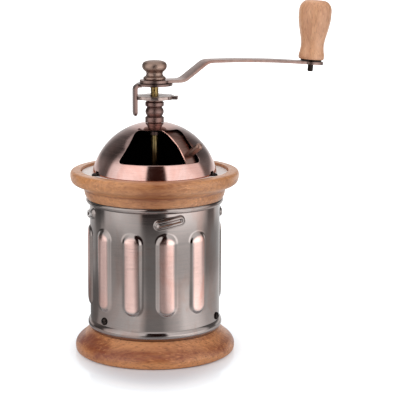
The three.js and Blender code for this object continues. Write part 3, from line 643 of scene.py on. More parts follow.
def plain_metal(name, pale, dark, roughness, brushing=(1, 1, 70), size=20.0, scratch=0.01, metallic=1.0):
    """Sheet or bar with fine brush lines and faint clouds."""
    f = Finish(name)
    lines = f.noise(f.mapped(brushing), size, 3.0, 0.6)
    clouds = f.noise(f.mapped(), 13.0, 3.0, 0.6, 0.4)
    share = f.sum("ADD", f.spread(lines, 0.3, 0.7, 0.0, 0.55), f.spread(clouds, 0.35, 0.7, 0.0, 0.45), clamp=True)
    f.set(
        Base_Color=f.blend(share, tone(*pale), tone(*dark)),
        Roughness=f.spread(share, 0.0, 1.0, roughness, roughness + 0.12, smooth=False),
        Normal=f.bump(lines, scratch, 0.5),
        Metallic=metallic,
        Specular_IOR_Level=0.5 if metallic else 0.1,
    )
    return f.material


def shaft_brass():
    """Brass that is bright above, with a darker brown painted reflection low in the hopper."""
    f = Finish("rod_brass")
    stains = f.noise(f.mapped((1, 1, 0.5)), 5.0, 3.0, 0.6)
    level = f.sum("ADD", f.height(), f.spread(stains, 0.3, 0.7, -5.0, 5.0))
    bright = f.blend(f.spread(stains, 0.35, 0.7), tone(208, 188, 136), tone(160, 136, 88))
    # Painted reflection: the rod turns darker brown below about 145 mm, standing in for what it mirrors low in the
    # hopper.
    shade = f.blend(f.spread(level, 137, 150, 0.9, 0.0), bright, tone(92, 58, 34))
    level = f.spread(stains, 0.3, 0.7, 0.3, 0.4)
    f.set(Base_Color=shade, Roughness=level, Normal=f.bump(stains, 0.01, 0.4), Metallic=1.0)
    return f.material


def even(share):
    """Bare copper shows to the same share all over."""
    return lambda f: share


def on_flute_crests(f):
    """Bare copper on the rubbed crests of the flutes, short of their upper ends."""
    proud = f.spread(f.radius(), BODY_RADIUS + FLUTE_RELIEF * 0.6, BODY_RADIUS + FLUTE_RELIEF * 0.85, 0.0, 0.95)
    level = f.height()
    reach = f.spread(level, FLUTE_LOW + 1.5, FLUTE_LOW + 5)
    reach = f.sum("MULTIPLY", reach, f.spread(level, FLUTE_HIGH - 1, FLUTE_HIGH - 5.5))
    return f.sum("ADD", f.sum("MULTIPLY", proud, reach), 0.04)


def on_flats(f):
    """Bare copper on the broad flat faces, short of the thin sides: partly wear, partly a painted sheen, as the flats
    catch the light and the sides lie in shade.
    """
    # Partly painted light: the share follows each face's facing, so faces that point up or down are lighter.
    upright = f.sum("ABSOLUTE", f.part(f.facing, 2), 0.0)
    return f.spread(upright, 0.35, 0.95, 0.12, 0.5)


def low_on_dome(f):
    """Bare copper low on the dome and round its top, partly wear where hands and cloths rub and partly a painted
    reflection of the bright studio there.
    """
    level = f.height()
    # Partly painted reflection: the low band and the top ring are bared more so that they look as bright as they shine.
    low = f.spread(level, DOME_FOOT + 8, DOME_FOOT + 15, 0.85, 0.12)
    high = f.spread(level, DOME_LAND - 4.5, DOME_LAND - 1.5, 0.0, 0.7)
    return f.sum("ADD", low, high)


BASE_WOOD = turned_wood(
    "base_hardwood", (206, 136, 82), (134, 60, 22), (78, 34, 14), 0, 9.0, 0.4, 0.4, 0.0, base_layers
)
RING_WOOD = turned_wood(
    "ring_hardwood", (210, 144, 90), (134, 68, 30), (104, 54, 26), 0, 14.0, 0.3, 0.45, 0.02, ring_layers
)
GRIP_WOOD = turned_wood(
    "grip_hardwood", (230, 172, 130), (176, 114, 78), (128, 78, 50), 2, 9.0, 0.3, 0.3, 0.05
)
BODY_COPPER = antique_copper(
    "canister_copper", (149, 141, 138), (224, 190, 182), on_flute_crests, (0.1, 0.2), 0.04, 0.05
)
DOME_COPPER = antique_copper("dome_copper", (136, 114, 110), (230, 194, 186), low_on_dome, (0.14, 0.1), 0.1, 0.08)
BARE_COPPER = antique_copper("bare_edge_copper", (214, 158, 142), (250, 205, 192), even(0.8), (0.26, 0.22))
SHUTTER_COPPER = antique_copper("shutter_copper", (112, 88, 82), (170, 140, 130), even(0.3), (0.3, 0.24))
PEG_COPPER = antique_copper("peg_copper", (124, 98, 88), (184, 150, 136), even(0.35), (0.38, 0.32))
STEM_COPPER = antique_copper("stem_copper", (108, 86, 82), (170, 140, 132), even(0.25), (0.4, 0.34))
CRANK_COPPER = antique_copper(
    "crank_copper", (118, 98, 92), (196, 168, 158), on_flats, (0.34, 0.28), 0.08, 0.1, (12, 1, 12)
)
CLIP_COPPER = antique_copper(
    "clip_copper", (104, 86, 82), (152, 122, 114), even(0.2), (0.3, 0.24), 0.08, 0.1, (12, 12, 12)
)
DISC_COPPER = antique_copper(
    "disc_copper", (144, 126, 120), (196, 180, 174), even(0.35), (0.3, 0.26), 0.1, 0.04, (2, 2, 24)
)
CAP_COPPER = antique_copper("cap_copper", (122, 104, 94), (192, 162, 148), even(0.35), (0.38, 0.34))
# Painted shade: a near-black matte finish for surfaces inside the hopper, standing in for the shadow there.
PAINTED_SHADE_INSIDE = plain_metal("painted_shade_inside", (26, 22, 20), (14, 12, 11), 0.8, (1, 1, 1), 8.0, metallic=0.0)
PLATE_STEEL = plain_metal("plate_steel", (246, 238, 234), (232, 220, 214), 0.34, metallic=0.1)
SHEET_STEEL = plain_metal("sheet_steel", (200, 198, 196), (160, 158, 156), 0.26)
# Painted shade: the steel funnel gets a near-black matte finish, standing in for the shadow inside the hopper.
FUNNEL_PAINTED_SHADE = plain_metal("funnel_steel", (34, 29, 27), (20, 17, 16), 0.7, metallic=0.0)
ZINC_STEEL = plain_metal("zinc_steel", (176, 176, 174), (136, 136, 134), 0.34, (1, 1, 1), 3.0)
BURR_IRON = plain_metal("burr_iron", (112, 110, 108), (72, 70, 68), 0.46, (1, 1, 1), 1.6, 0.03)
ROD_BRASS = shaft_brass()
BLACK_STEEL = plain_metal("black_steel", (58, 50, 47), (26, 22, 21), 0.22, (1, 1, 1), 1.2)


# Wooden base and canister

BASE_SHARES = [
    (0.975, 0.0), (0.991, 0.04), (0.998, 0.11), (1.0, 0.2), (0.998, 0.303), (0.983, 0.424), (0.953, 0.545),
    (0.907, 0.667), (0.869, 0.788), (0.836, 0.897), (0.81, 1.0),
]


def wooden_base():
    foot = within(curve_through(shares(BASE_SHARES, BASE_RADIUS, BASE_HEIGHT, 0), 4), BASE_RADIUS)
    spigot = eased(
        [
            (SPIGOT_RADIUS + 1, BASE_HEIGHT), (SPIGOT_RADIUS, BASE_HEIGHT),
            (SPIGOT_RADIUS, BASE_HEIGHT + SPIGOT_HEIGHT), (0, BASE_HEIGHT + SPIGOT_HEIGHT),
        ],
        0.8,
    )
    base = turn("base_turning", [(0, 0), *foot, *spigot], 144)
    fit(base, "canister", "base_wood", BASE_WOOD, "wood_base")


def canister_line():
    """The outside of the canister wall from its rolled foot to its flared rim."""
    bead = [(math.sin(math.pi * k / 12) ** 0.8, k / 12) for k in range(13)]
    foot = [(BODY_RADIUS + out * (BEAD_RADIUS - BODY_RADIUS), BODY_BOTTOM + up * BEAD_HEIGHT) for out, up in bead]
    low, high = foot[-1][1], BODY_TOP - ROLL_HEIGHT
    split = FLUTE_HIGH - 1
    wall = [(BODY_RADIUS, low + (split - low) * k / 76) for k in range(1, 76)]
    wall += [(BODY_RADIUS, split + (high - split) * k / 26) for k in range(26)]
    flare = RIM_RADIUS - BODY_RADIUS
    roll = [
        (BODY_RADIUS + flare * math.sin(0.75 * math.pi * k / 12) ** 0.7, high + ROLL_HEIGHT * k / 12) for k in range(13)
    ]
    return foot + wall + roll


def pad_away(along, across, length, half_width):
    """How far a place on a pressed pad lies from its middle line: 0 on it and 1 at the pad's border."""
    beyond = max(0.0, abs(along) - (length / 2 - half_width))
    return math.hypot(across, beyond) / half_width


def smooth_step(t):
    t = min(1.0, max(0.0, t))
    return t * t * (3 - 2 * t)


def press(piece, share_at, relief):
    """Pushes the wall out by relief where share_at says, as a die does."""
    group = piece.vertex_groups.new(name="press")
    for vertex in piece.data.vertices:
        share = share_at(vertex.co / MM)
        if share > 0:
            group.add([vertex.index], share, "REPLACE")
    modify(piece, "DISPLACE", strength=relief * MM, mid_level=0, vertex_group=group.name)
    piece.vertex_groups.remove(piece.vertex_groups["press"])


def nearest_turn(point, first, count):
    """The arc length from a point on the wall to the nearest of evenly spaced marks."""
    angle = math.atan2(point.x, -point.y) - first
    step = TURN / count
    return (angle - round(angle / step) * step) * BODY_RADIUS


def flute_at(point):
    """A flute has a slightly domed crest between steep sides."""
    across = nearest_turn(point, FLUTE_TURN, FLUTES)
    if abs(math.atan2(point.x, -point.y) - PLAIN_TURN) < math.pi / FLUTES:
        return 0.0
    middle = (FLUTE_LOW + FLUTE_HIGH) / 2
    away = pad_away(point.z - middle, across, FLUTE_HIGH - FLUTE_LOW, FLUTE_HALF_WIDTH)
    if away < FLUTE_CREST:
        return 1 - FLUTE_DOMING * (away / FLUTE_CREST) ** 2
    return (1 - FLUTE_DOMING) * (1 - smooth_step((away - FLUTE_CREST) / (1 - FLUTE_CREST)))


def ramp_away(point):
    across, up = nearest_turn(point, RAMP_TURN, RAMPS), point.z - RAMP_MIDDLE
    along = across * math.cos(RAMP_SLOPE) + up * math.sin(RAMP_SLOPE)
    off = up * math.cos(RAMP_SLOPE) - across * math.sin(RAMP_SLOPE)
    return pad_away(along, off, RAMP_LENGTH, RAMP_HALF_WIDTH)


def ramp_at(point):
    """A ramp is a raised lip round a long dent."""
    away = ramp_away(point)
    if away < RAMP_LIP:
        return 1 - RAMP_DENT * smooth_step(1 - away / RAMP_LIP)
    return 1 - smooth_step((away - RAMP_LIP) / (1 - RAMP_LIP))


def canister():
    shell = turn("canister_shell", canister_line(), 360)
    face_out(shell)
    edit(shell)
    pick(shell, lambda p: math.hypot(p.x, p.y) < RIM_RADIUS and ramp_away(p) < 1.35)
    bpy.ops.mesh.subdivide(number_cuts=1)
    leave_edit_mode()
    press(shell, flute_at, FLUTE_RELIEF)
    press(shell, ramp_at, RAMP_RELIEF)
    thicken(shell, SHEET, -1)
    fit(shell, "canister", "body_copper", BODY_COPPER, "canister_wall")


def screw(name, place, direction, body):
    """A small dome headed screw with a cross recess, set at a place and pointing out along a direction."""
    head = [(0, 0), (SCREW_RADIUS * 0.94, 0), (SCREW_RADIUS, SCREW_HEIGHT * 0.18)]
    head += [
        (SCREW_RADIUS * math.cos(a), SCREW_HEIGHT * (0.18 + 0.82 * math.sin(a)))
        for a in [math.pi / 2 * k / 8 for k in range(1, 9)]
    ]
    piece = turn(name, head, 32)
    low = (-CROSS_REACH, -CROSS_HALF_WIDTH, SCREW_HEIGHT - CROSS_DEPTH)
    high = (CROSS_REACH, CROSS_HALF_WIDTH, SCREW_HEIGHT + 1)
    for angle in (0.0, math.pi / 2):
        combine(piece, block("recess", low, high, angle + 0.5))
    out = Vector(direction).normalized().to_track_quat("Z", "Y").to_matrix().to_4x4()
    placed(piece, Matrix.Translation(Vector(place) * MM) @ out)
    fit(piece, body, "black_steel", BLACK_STEEL)


def canister_screws():
    for number, degrees in enumerate(BODY_SCREW_TURNS, 1):
        x, y = facing(math.radians(degrees), BODY_RADIUS - 0.1)
        screw(f"canister_screw_{number}", (x, y, BODY_SCREW_LEVEL), (x, y, 0), "canister")


# Wooden ring, plate and collar

RING_SHARES = [
    (0.811, 0.0), (0.824, 0.083), (0.833, 0.161), (0.838, 0.255), (0.844, 0.33),
]
RING_RISE_SHARES = [
    (0.844, 0.33), (0.868, 0.385), (0.909, 0.453), (0.957, 0.521), (0.983, 0.594), (0.993, 0.667),
    (0.9985, 0.74), (1.0, 0.818), (0.998, 0.89), (0.988, 0.953), (0.97, 0.99), (0.95, 1.0),
]


def wooden_ring():
    lower = curve_through(shares(RING_SHARES, RING_RADIUS, RING_HEIGHT, RING_BOTTOM), 4)
    upper = within(curve_through(shares(RING_RISE_SHARES, RING_RADIUS, RING_HEIGHT, RING_BOTTOM), 4), RING_RADIUS)
    inside = eased(
        [
            (PLATE_SEAT_RADIUS + 2, RING_TOP), (PLATE_SEAT_RADIUS, RING_TOP), (PLATE_SEAT_RADIUS, PLATE_SEAT),
            (FLANGE_SEAT_RADIUS, PLATE_SEAT), (FLANGE_SEAT_RADIUS, PLATE_SEAT - FLANGE_SEAT_DEPTH),
            (RING_BORE, PLATE_SEAT - FLANGE_SEAT_DEPTH), (RING_BORE, RING_BOTTOM),
        ],
        0.3,
    )
    ring = turn("ring_turning", [*lower[:-1], *upper, *inside, lower[0]], 144)
    fit(ring, "head", "ring_wood", RING_WOOD, "wood_ring")


def paint(piece, material, test):
    """Gives a second finish to the faces whose corners all pass a test in millimetres."""
    if not piece.data.materials:
        piece.data.materials.append(material)
    piece.data.materials.append(material)
    edit(piece, "FACE")
    select("DESELECT")
    mesh = bmesh.from_edit_mesh(piece.data)
    for face in mesh.faces:
        face.select = all(test(v.co / MM) for v in face.verts)
    bmesh.update_edit_mesh(piece.data)
    piece.active_material_index = len(piece.data.materials) - 1
    bpy.ops.object.material_slot_assign()
    leave_edit_mode()


def top_plate():
    outline = eased(
        [
            (PLATE_BORE + 4, PLATE_BOTTOM), (PLATE_RADIUS, PLATE_BOTTOM), (PLATE_RADIUS, PLATE_TOP),
            (DOME_FOOT_RADIUS - 0.6, PLATE_TOP), (PLATE_BORE, PLATE_TOP), (PLATE_BORE, PLATE_BOTTOM),
            (PLATE_BORE + 4, PLATE_BOTTOM),
        ],
        0.3,
    )
    plate = turn("plate_ring", outline, 144)
    # Painted shade: the plate's middle, inside the dome, is painted near black.
    paint(plate, PAINTED_SHADE_INSIDE, lambda p: math.hypot(p.x, p.y) < DOME_FOOT_RADIUS - 0.2)
    fit(plate, "head", "plate_steel", PLATE_STEEL, "top_plate")


# Dome with its window, shutter and peg


def window_prism(name, depth):
    """The rounded trapezoid of the window, drawn as a plane and drawn out towards the front."""
    middle = WINDOW_BOTTOM + WINDOW_HEIGHT / 2
    prism = add_shape(name, bpy.ops.mesh.primitive_plane_add, size=MM, location=(0, 0, 0))
    prism.rotation_euler = (math.pi / 2, 0, 0)
    prism.scale = (2 * WINDOW_LOW_HALF, WINDOW_HEIGHT, 1)
    prism.location = (0, -LAND_RADIUS * MM, middle * MM)
    settle(prism)
    edit(prism)
    pick(prism, lambda p: p.z > middle)
    narrow = WINDOW_HIGH_HALF / WINDOW_LOW_HALF
    bpy.ops.transform.resize(value=(narrow, 1, 1), center_override=(0, 0, 0))
    bpy.ops.transform.translate(value=(WINDOW_SHIFT * MM, 0, 0))
    select()
    bpy.ops.mesh.bevel(offset=WINDOW_CORNER * 0.95 * MM, segments=7, affect="VERTICES")
    select()
    extrude(0, -depth, 0)
    tidy_faces(prism)
    spun(prism, WINDOW_TURN)
    prism.data.materials.append(BARE_COPPER)
    return prism


def paint_shade_inside(shell, inner, level):
    """Paints the inner skin of a domed sheet near black, as painted shade for the dark hollow under it."""
    centre = Vector((0, 0, level))
    paint(shell, PAINTED_SHADE_INSIDE, lambda p: (p - centre).length < inner + 0.05)


def dome():
    inner = DOME_RADIUS - SHEET
    inner_foot = math.sqrt(inner**2 - (DOME_FOOT - DOME_CENTRE) ** 2)
    outline = [
        *arc(DOME_RADIUS, DOME_CENTRE, DOME_FOOT_RADIUS, LAND_RADIUS, 56),
        (DOME_BORE, DOME_LAND),
        (DOME_BORE, DOME_LAND - SHEET),
        *reversed(arc(inner, DOME_CENTRE, inner_foot, LAND_RADIUS, 40)),
        (inner_foot, DOME_SKIRT),
        (DOME_FOOT_RADIUS, DOME_SKIRT),
    ]
    shell = turn("dome_shell", [*outline, outline[0]], 240)
    shell.data.materials.append(DOME_COPPER)
    shell.data.materials.append(BARE_COPPER)
    combine(shell, window_prism("window", DOME_RADIUS))
    for degrees in DOME_SCREW_TURNS:
        x, y = facing(math.radians(degrees), DOME_SCREW_CIRCLE)
        notch = cylinder("notch", SCREW_RADIUS + 0.35, -2, SCREW_HEIGHT + 1.0, 32)
        combine(shell, placed(notch, Matrix.Translation(Vector((x, y, PLATE_TOP)) * MM)))
    # Painted shade on the dome's inner skin.
    paint_shade_inside(shell, inner, DOME_CENTRE)
    soften(shell, 0.22, 2, 50)
    fit(shell, "head", "dome_copper", DOME_COPPER, "dome")


def shutter():
    inner = SHUTTER_RADIUS - SHEET
    low = math.sqrt(SHUTTER_RADIUS**2 - (SHUTTER_LOW - SHUTTER_CENTRE) ** 2)
    inner_low = math.sqrt(inner**2 - (SHUTTER_LOW - SHUTTER_CENTRE) ** 2)
    outline = [
        *arc(SHUTTER_RADIUS, SHUTTER_CENTRE, low, LAND_RADIUS, 36),
        (DOME_BORE, SHUTTER_LAND),
        (DOME_BORE, SHUTTER_LAND - SHEET),
        *reversed(arc(inner, SHUTTER_CENTRE, inner_low, LAND_RADIUS, 28)),
    ]
    shell = turn("shutter_shell", [*outline, outline[0]], 192)
    shell.data.materials.append(SHUTTER_COPPER)
    # Painted shade on the shutter's inner skin.
    paint_shade_inside(shell, inner, SHUTTER_CENTRE)
    shell.data.materials.append(BARE_COPPER)
    keep = cylinder("eye", SHUTTER_EYE_RADIUS, SHUTTER_LOW - 5, DOME_LAND + 5, 64)
    keep.data.materials.append(BARE_COPPER)
    combine(keep, shutter_sector(), "UNION")
    combine(shell, keep, "INTERSECT")
    soften(shell, 0.2, 2, 50)
    fit(shell, "shutter", "shutter_copper", SHUTTER_COPPER, "shutter")


def shutter_sector():
    """A wide wedge that the shutter is cut from; its front edge runs beside the radius."""
    off = facing(SHUTTER_EDGE - math.pi / 2, SHUTTER_EDGE_OFFSET)
    along = facing(SHUTTER_EDGE, DOME_RADIUS)
    wide = facing((SHUTTER_EDGE + SHUTTER_BACK) / 2, DOME_RADIUS * 2)
    back = facing(SHUTTER_BACK, DOME_RADIUS)
    corners = [off, (along[0] + off[0], along[1] + off[1]), wide, back]
    wedge = draw_line("sector", [(x, y, SHUTTER_LOW - 5) for x, y in corners])
    select()
    bpy.ops.mesh.edge_face_add()
    select()
    extrude(0, 0, DOME_LAND - SHUTTER_LOW + 10)
    tidy_faces(wedge)
    return wedge


def shutter_peg():
    foot, tip = PEG_FOOT, PEG_TIP
    side = eased([(0, foot), (PEG_RADIUS, foot), (PEG_RADIUS, tip - PEG_CROWN)], 0.3)
    angles = [math.pi / 2 * k / 8 for k in range(1, 8)]
    crown = [(PEG_RADIUS * math.cos(a) ** 0.8, tip - PEG_CROWN + PEG_CROWN * math.sin(a)) for a in angles]
    peg = turn("shutter_knob", [*side, *crown, (0, tip)], 40)
    lean = Matrix.Rotation(math.pi / 2 - PEG_RISE, 4, "X")
    placed(peg, Matrix.Translation((0, 0, DOME_CENTRE * MM)) @ Matrix.Rotation(PEG_TURN, 4, "Z") @ lean)
    fit(peg, "shutter", "peg_copper", PEG_COPPER, "shutter_peg")


def dome_screws():
    for number, degrees in enumerate(DOME_SCREW_TURNS, 1):
        x, y = facing(math.radians(degrees), DOME_SCREW_CIRCLE)
        screw(f"dome_screw_{number}", (x, y, PLATE_TOP), (0, 0, 1), "head")


# Stem, rod, disc and clip


def stem():
    spigot = [(BORE, STEM_BOTTOM - STEM_SPIGOT_DEPTH), (STEM_SPIGOT_RADIUS, STEM_BOTTOM - STEM_SPIGOT_DEPTH)]
    spigot += [(STEM_SPIGOT_RADIUS, STEM_BOTTOM)]
    low = shares([(1.0, 0.0), (1.0, 0.22), (0.86, 0.25)], STEM_RADIUS, STEM_HEIGHT, STEM_BOTTOM)
    ball = [
        (STEM_RADIUS * (0.8 + 0.185 * math.sin(math.pi * k / 14)), STEM_BOTTOM + STEM_HEIGHT * (0.27 + 0.39 * k / 14))
        for k in range(15)
    ]
    high = [(0.86, 0.69), (1.0, 0.72), (1.0, 0.88), (0.86, 0.92), (0.86, 1.0)]
    high = shares(high, STEM_RADIUS, STEM_HEIGHT, STEM_BOTTOM)
    outline = [*eased([*spigot, *low], 0.35), *ball, *eased([*high, (BORE, STEM_TOP)], 0.35)]
    piece = turn("stem_turning", [*outline, outline[0]], 72)
    # Painted shade: the spigot below the dome's top, inside the hopper, is painted near black.
    paint(piece, PAINTED_SHADE_INSIDE, lambda p: p.z < DOME_LAND - SHEET)
    fit(piece, "head", "stem_copper", STEM_COPPER, "stem_bush")


def threaded_rod():
    """The shaft: a plain rod below and a thread from the stem up into the cap."""
    start = STEM_TOP - 4
    turns = round((SHAFT_TOP - 1 - start) / THREAD_PITCH)
    end = start + turns * THREAD_PITCH
    core = SHAFT_RADIUS - THREAD_DEPTH
    rod = turn(
        "threaded_rod",
        [
            *eased([(0, SHAFT_BOTTOM), (SHAFT_RADIUS, SHAFT_BOTTOM), (SHAFT_RADIUS, start), (core, start + 0.6)], 0.5),
            (core, end),
            (0, end),
        ],
        40,
    )
    tooth = draw(
        "thread",
        [
            (core - 0.2, start), (core, start + 0.12 * THREAD_PITCH),
            (SHAFT_RADIUS - 0.04, start + 0.44 * THREAD_PITCH),
            (SHAFT_RADIUS - 0.04, start + 0.56 * THREAD_PITCH), (core, start + 0.88 * THREAD_PITCH),
            (core - 0.2, start + THREAD_PITCH * 0.98), (core - 0.2, start),
        ],
    )
    leave_edit_mode()
    pitch = {"angle": TURN, "screw_offset": THREAD_PITCH * MM, "iterations": turns}
    modify(tooth, "SCREW", **pitch, steps=28, render_steps=28, use_merge_vertices=False)
    edit_all(tooth)
    bpy.ops.mesh.remove_doubles(threshold=0.002 * MM)
    select("DESELECT")
    bpy.ops.mesh.select_non_manifold()
    bpy.ops.mesh.fill_holes(sides=12)
    tidy_faces(tooth)
    choose(rod)
    tooth.select_set(True)
    bpy.ops.object.join()
    fit(rod, "crank", "shaft_brass", ROD_BRASS, "shaft", smooth=30)


def adjusting_disc():
    disc = cylinder("notched_disc", DISC_RADIUS, DISC_BOTTOM, DISC_BOTTOM + DISC_THICKNESS, 120)
    for number in range(DISC_NOTCHES):
        low = (DISC_RADIUS - NOTCH_DEPTH, -NOTCH_WIDTH / 2, DISC_BOTTOM - 1)
        high = (DISC_RADIUS * 2, NOTCH_WIDTH / 2, DISC_BOTTOM + DISC_THICKNESS + 1)
        combine(disc, block("notch", low, high, math.pi + TURN * number / DISC_NOTCHES))
    ear = block(
        "ear",
        (BORE + 1, -EAR_WIDTH / 2, DISC_BOTTOM),
        (EAR_REACH, EAR_WIDTH / 2, DISC_BOTTOM + DISC_THICKNESS),
        EAR_TURN,
    )
    combine(disc, ear, "UNION")
    combine(disc, cylinder("bore", BORE, DISC_BOTTOM - 1, DISC_BOTTOM + DISC_THICKNESS + 1, 40))
    soften(disc, 0.35, 3, 40)
    fit(spun(disc, CRANK_REST), "crank", "disc_copper", DISC_COPPER, "adjusting_disc")


def strap(name, line, width_at, thickness):
    """A bent strap: an edge across it is drawn along a line of [x, z] points, as wide as width_at says."""
    x, z = line[0]
    piece = add_shape(name, bpy.ops.mesh.primitive_plane_add, size=MM, location=(x * MM, 0, z * MM))
    settle(piece)
    edit(piece)
    bpy.ops.mesh.delete(type="ONLY_FACE")
    pick(piece, lambda p: True)
    bpy.ops.transform.resize(value=(0, width_at(x), 1), center_override=(x * MM, 0, z * MM))
    bpy.ops.mesh.remove_doubles(threshold=0.01 * MM)
    for (x0, z0), (x1, z1) in zip(line, line[1:]):
        extrude(x1 - x0, 0, z1 - z0)
        grow = width_at(x1) / width_at(x0)
        bpy.ops.transform.resize(value=(1, grow, 1), center_override=(x1 * MM, 0, z1 * MM))
    tidy_faces(piece)
    return thicken(piece, thickness, 0)


def lock_clip():
    top = CLIP_BOTTOM + CLIP_THICKNESS
    plate = cylinder("lock_clip_plate", CLIP_PLATE_RADIUS, CLIP_BOTTOM, top, 96)
    middle = FINGER_INNER + FINGER_THICKNESS / 2
    level = top - FINGER_THICKNESS / 2
    down = top - FINGER_LENGTH
    bend = 2.6
    line = [(-7.0, level), (-middle + bend, level)]
    line += [
        (-middle + bend - bend * math.sin(a), level - bend + bend * math.cos(a))
        for a in [math.pi / 2 * k / 8 for k in range(1, 9)]
    ]
    line += [(-middle, down + FINGER_THICKNESS)]
    finger = strap("finger", line, lambda x: FINGER_WIDTH, FINGER_THICKNESS * 0.999)
    edit(finger, "FACE")
    pick(finger, lambda p: p.z < down + FINGER_THICKNESS + 0.1)
    for drop, shrink in ((0.9, 0.93), (0.9, 0.8), (0.55, 0.6), (0.25, 0.5)):
        extrude(0, 0, -drop)
        bpy.ops.transform.resize(value=(shrink, shrink**0.5, 1), center_override=(-middle * MM, 0, 0))
    leave_edit_mode()
    tidy_faces(finger)
    combine(plate, finger, "UNION")
    combine(plate, block("trim", (-9.5, -6, CLIP_BOTTOM - 4), (9, 6, CLIP_BOTTOM)))
    combine(plate, cylinder("bore", BORE, CLIP_BOTTOM - 1, top + 1, 40))
    soften(plate, 0.4, 3, 40)
    fit(spun(plate, CRANK_REST), "crank", "clip_copper", CLIP_COPPER, "lock_clip")


# Crank, cap nut and grip


def crank_line():
    """The crank's side line: level hub, an S bend up, and a long gentle droop to its eye."""
    crest = CRANK_LEVEL + CRANK_RISE
    end = CRANK_REACH + CRANK_EYE_RADIUS
    corners = [
        (-CRANK_HUB_RADIUS, CRANK_LEVEL), (19.8, CRANK_LEVEL), (37.4, crest), (60.0, crest),
        (CRANK_BREAK, crest - CRANK_BREAK_DROOP),
        (end, crest - CRANK_DROOP - math.tan(EYE_SLOPE) * CRANK_EYE_RADIUS),
    ]
    reaches = (3.2, 3.2, 9.0, 9.0)
    line = [Vector(corners[0])]
    for i, reach in enumerate(reaches, 1):
        before, corner, after = (Vector(corners[i + k]) for k in (-1, 0, 1))
        start = corner + (before - corner).normalized() * reach
        stop = corner + (after - corner).normalized() * reach
        line += [start * (1 - t) ** 2 + corner * 2 * t * (1 - t) + stop * t**2 for t in [k / 8 for k in range(9)]]
    line.append(Vector(corners[-1]))
    return line


def crank():
    line = crank_line()
    stations = []
    for a, b in zip(line, line[1:]):
        steps = max(1, math.ceil(abs(b.x - a.x) / 2.0))
        if a.x < CRANK_HUB_RADIUS or b.x > CRANK_REACH - CRANK_EYE_RADIUS:
            steps = max(steps, math.ceil(abs(b.x - a.x) / 0.55))
        stations += [a.lerp(b, k / steps) for k in range(steps)]
    stations.append(line[-1])

    def width_at(x):
        hub = math.sqrt(max(0.0, CRANK_HUB_RADIUS**2 - x**2))
        eye = math.sqrt(max(0.0, CRANK_EYE_RADIUS**2 - (x - CRANK_REACH) ** 2))
        bar = CRANK_WIDTH / 2 if 0 <= x <= CRANK_REACH else 0.0
        return 2 * max(hub, eye, bar, 1.1)

    arm = strap("crank_strap", [tuple(p) for p in stations], width_at, CRANK_THICKNESS)
    combine(arm, cylinder("bore", BORE, CRANK_LEVEL - 5, CRANK_LEVEL + 5, 48))
    hole = cylinder("hole", PIN_RADIUS + SEAT, -5, 5, 40)
    combine(arm, placed(hole, at_eye()))
    soften(arm, 0.38, 3, 50)
    fit(spun(arm, CRANK_REST), "crank", "crank_copper", CRANK_COPPER, "crank_arm")


def at_eye():
    """From the grip's own upright frame to the crank's far eye, before the crank is turned."""
    return Matrix.Translation((CRANK_REACH * MM, 0, EYE_LEVEL * MM)) @ Matrix.Rotation(EYE_SLOPE, 4, "Y")


def on_crank(piece):
    return placed(piece, Matrix.Rotation(CRANK_REST, 4, "Z") @ at_eye())


CAP_SHARES = [
    (0.87, 0.0), (0.9, 0.035), (0.905, 0.075), (0.88, 0.12), (0.79, 0.16), (0.7, 0.21), (0.665, 0.28),
    (0.675, 0.35), (0.74, 0.42), (0.84, 0.475), (0.955, 0.565), (1.0, 0.69), (0.965, 0.81), (0.845, 0.905),
    (0.62, 0.966), (0.34, 0.993), (0.0, 1.0),
]


def cap_nut():
    outer = curve_through(shares(CAP_SHARES, CAP_RADIUS, CAP_HEIGHT, CAP_BOTTOM), 3)
    outline = [(0, CAP_BOTTOM + CAP_BORE_DEPTH), (BORE, CAP_BOTTOM + CAP_BORE_DEPTH), (BORE, CAP_BOTTOM), *outer]
    fit(turn("cap_turning", outline, 80), "crank", "cap_copper", CAP_COPPER, "cap_nut")


GRIP_SHARES = [
    (0.74, 0.0), (0.775, 0.035), (0.765, 0.08), (0.72, 0.14), (0.692, 0.24), (0.737, 0.345), (0.82, 0.45),
    (0.9, 0.555), (0.958, 0.66), (0.995, 0.76), (0.955, 0.865), (0.88, 0.92), (0.73, 0.97), (0.56, 0.995),
    (0.42, 1.0),
]


def grip():
    bore = PIN_RADIUS + SEAT
    recess = PIN_HEAD_RADIUS + SEAT
    floor = GRIP_TOP - GRIP_RECESS - 2 * SEAT
    outer = curve_through(shares(GRIP_SHARES, GRIP_RADIUS, GRIP_TOP - GRIP_BOTTOM, GRIP_BOTTOM), 4)
    outer = within(outer, GRIP_RADIUS * 0.975)
    outline = [(bore, GRIP_BOTTOM), *outer, (recess, GRIP_TOP), (recess, floor), (bore, floor), (bore, GRIP_BOTTOM)]
    piece = turn("grip_turning", outline, 96)
    fit(on_crank(piece), "grip", "grip_wood", GRIP_WOOD, "grip")


def pin_and_washer():
    top = GRIP_TOP - SEAT
    low = -PIN_STUB - CRANK_THICKNESS / 2
    under = top - PIN_HEAD_HEIGHT
    head = [(PIN_RADIUS, under), (PIN_HEAD_RADIUS, under), (PIN_HEAD_RADIUS, top - 0.5), (PIN_HEAD_FLAT, top), (0, top)]
    head = eased(head, 0.5)
    pin = turn("grip_rivet", [(0, low), (PIN_RADIUS - 0.4, low), (PIN_RADIUS, low + 0.5), *head], 40)
    fit(on_crank(pin), "crank", "black_steel", BLACK_STEEL, "grip_pin")
    low = CRANK_THICKNESS / 2 + SEAT
    high = low + WASHER_THICKNESS
    bore = PIN_RADIUS + SEAT
    corners = [(bore + 1, low), (WASHER_RADIUS, low), (WASHER_RADIUS, high), (bore, high), (bore, low), (bore + 1, low)]
    washer = turn("grip_washer_ring", eased(corners, 0.25), 56)
    fit(on_crank(washer), "crank", "black_steel", BLACK_STEEL, "grip_washer")


# Inside


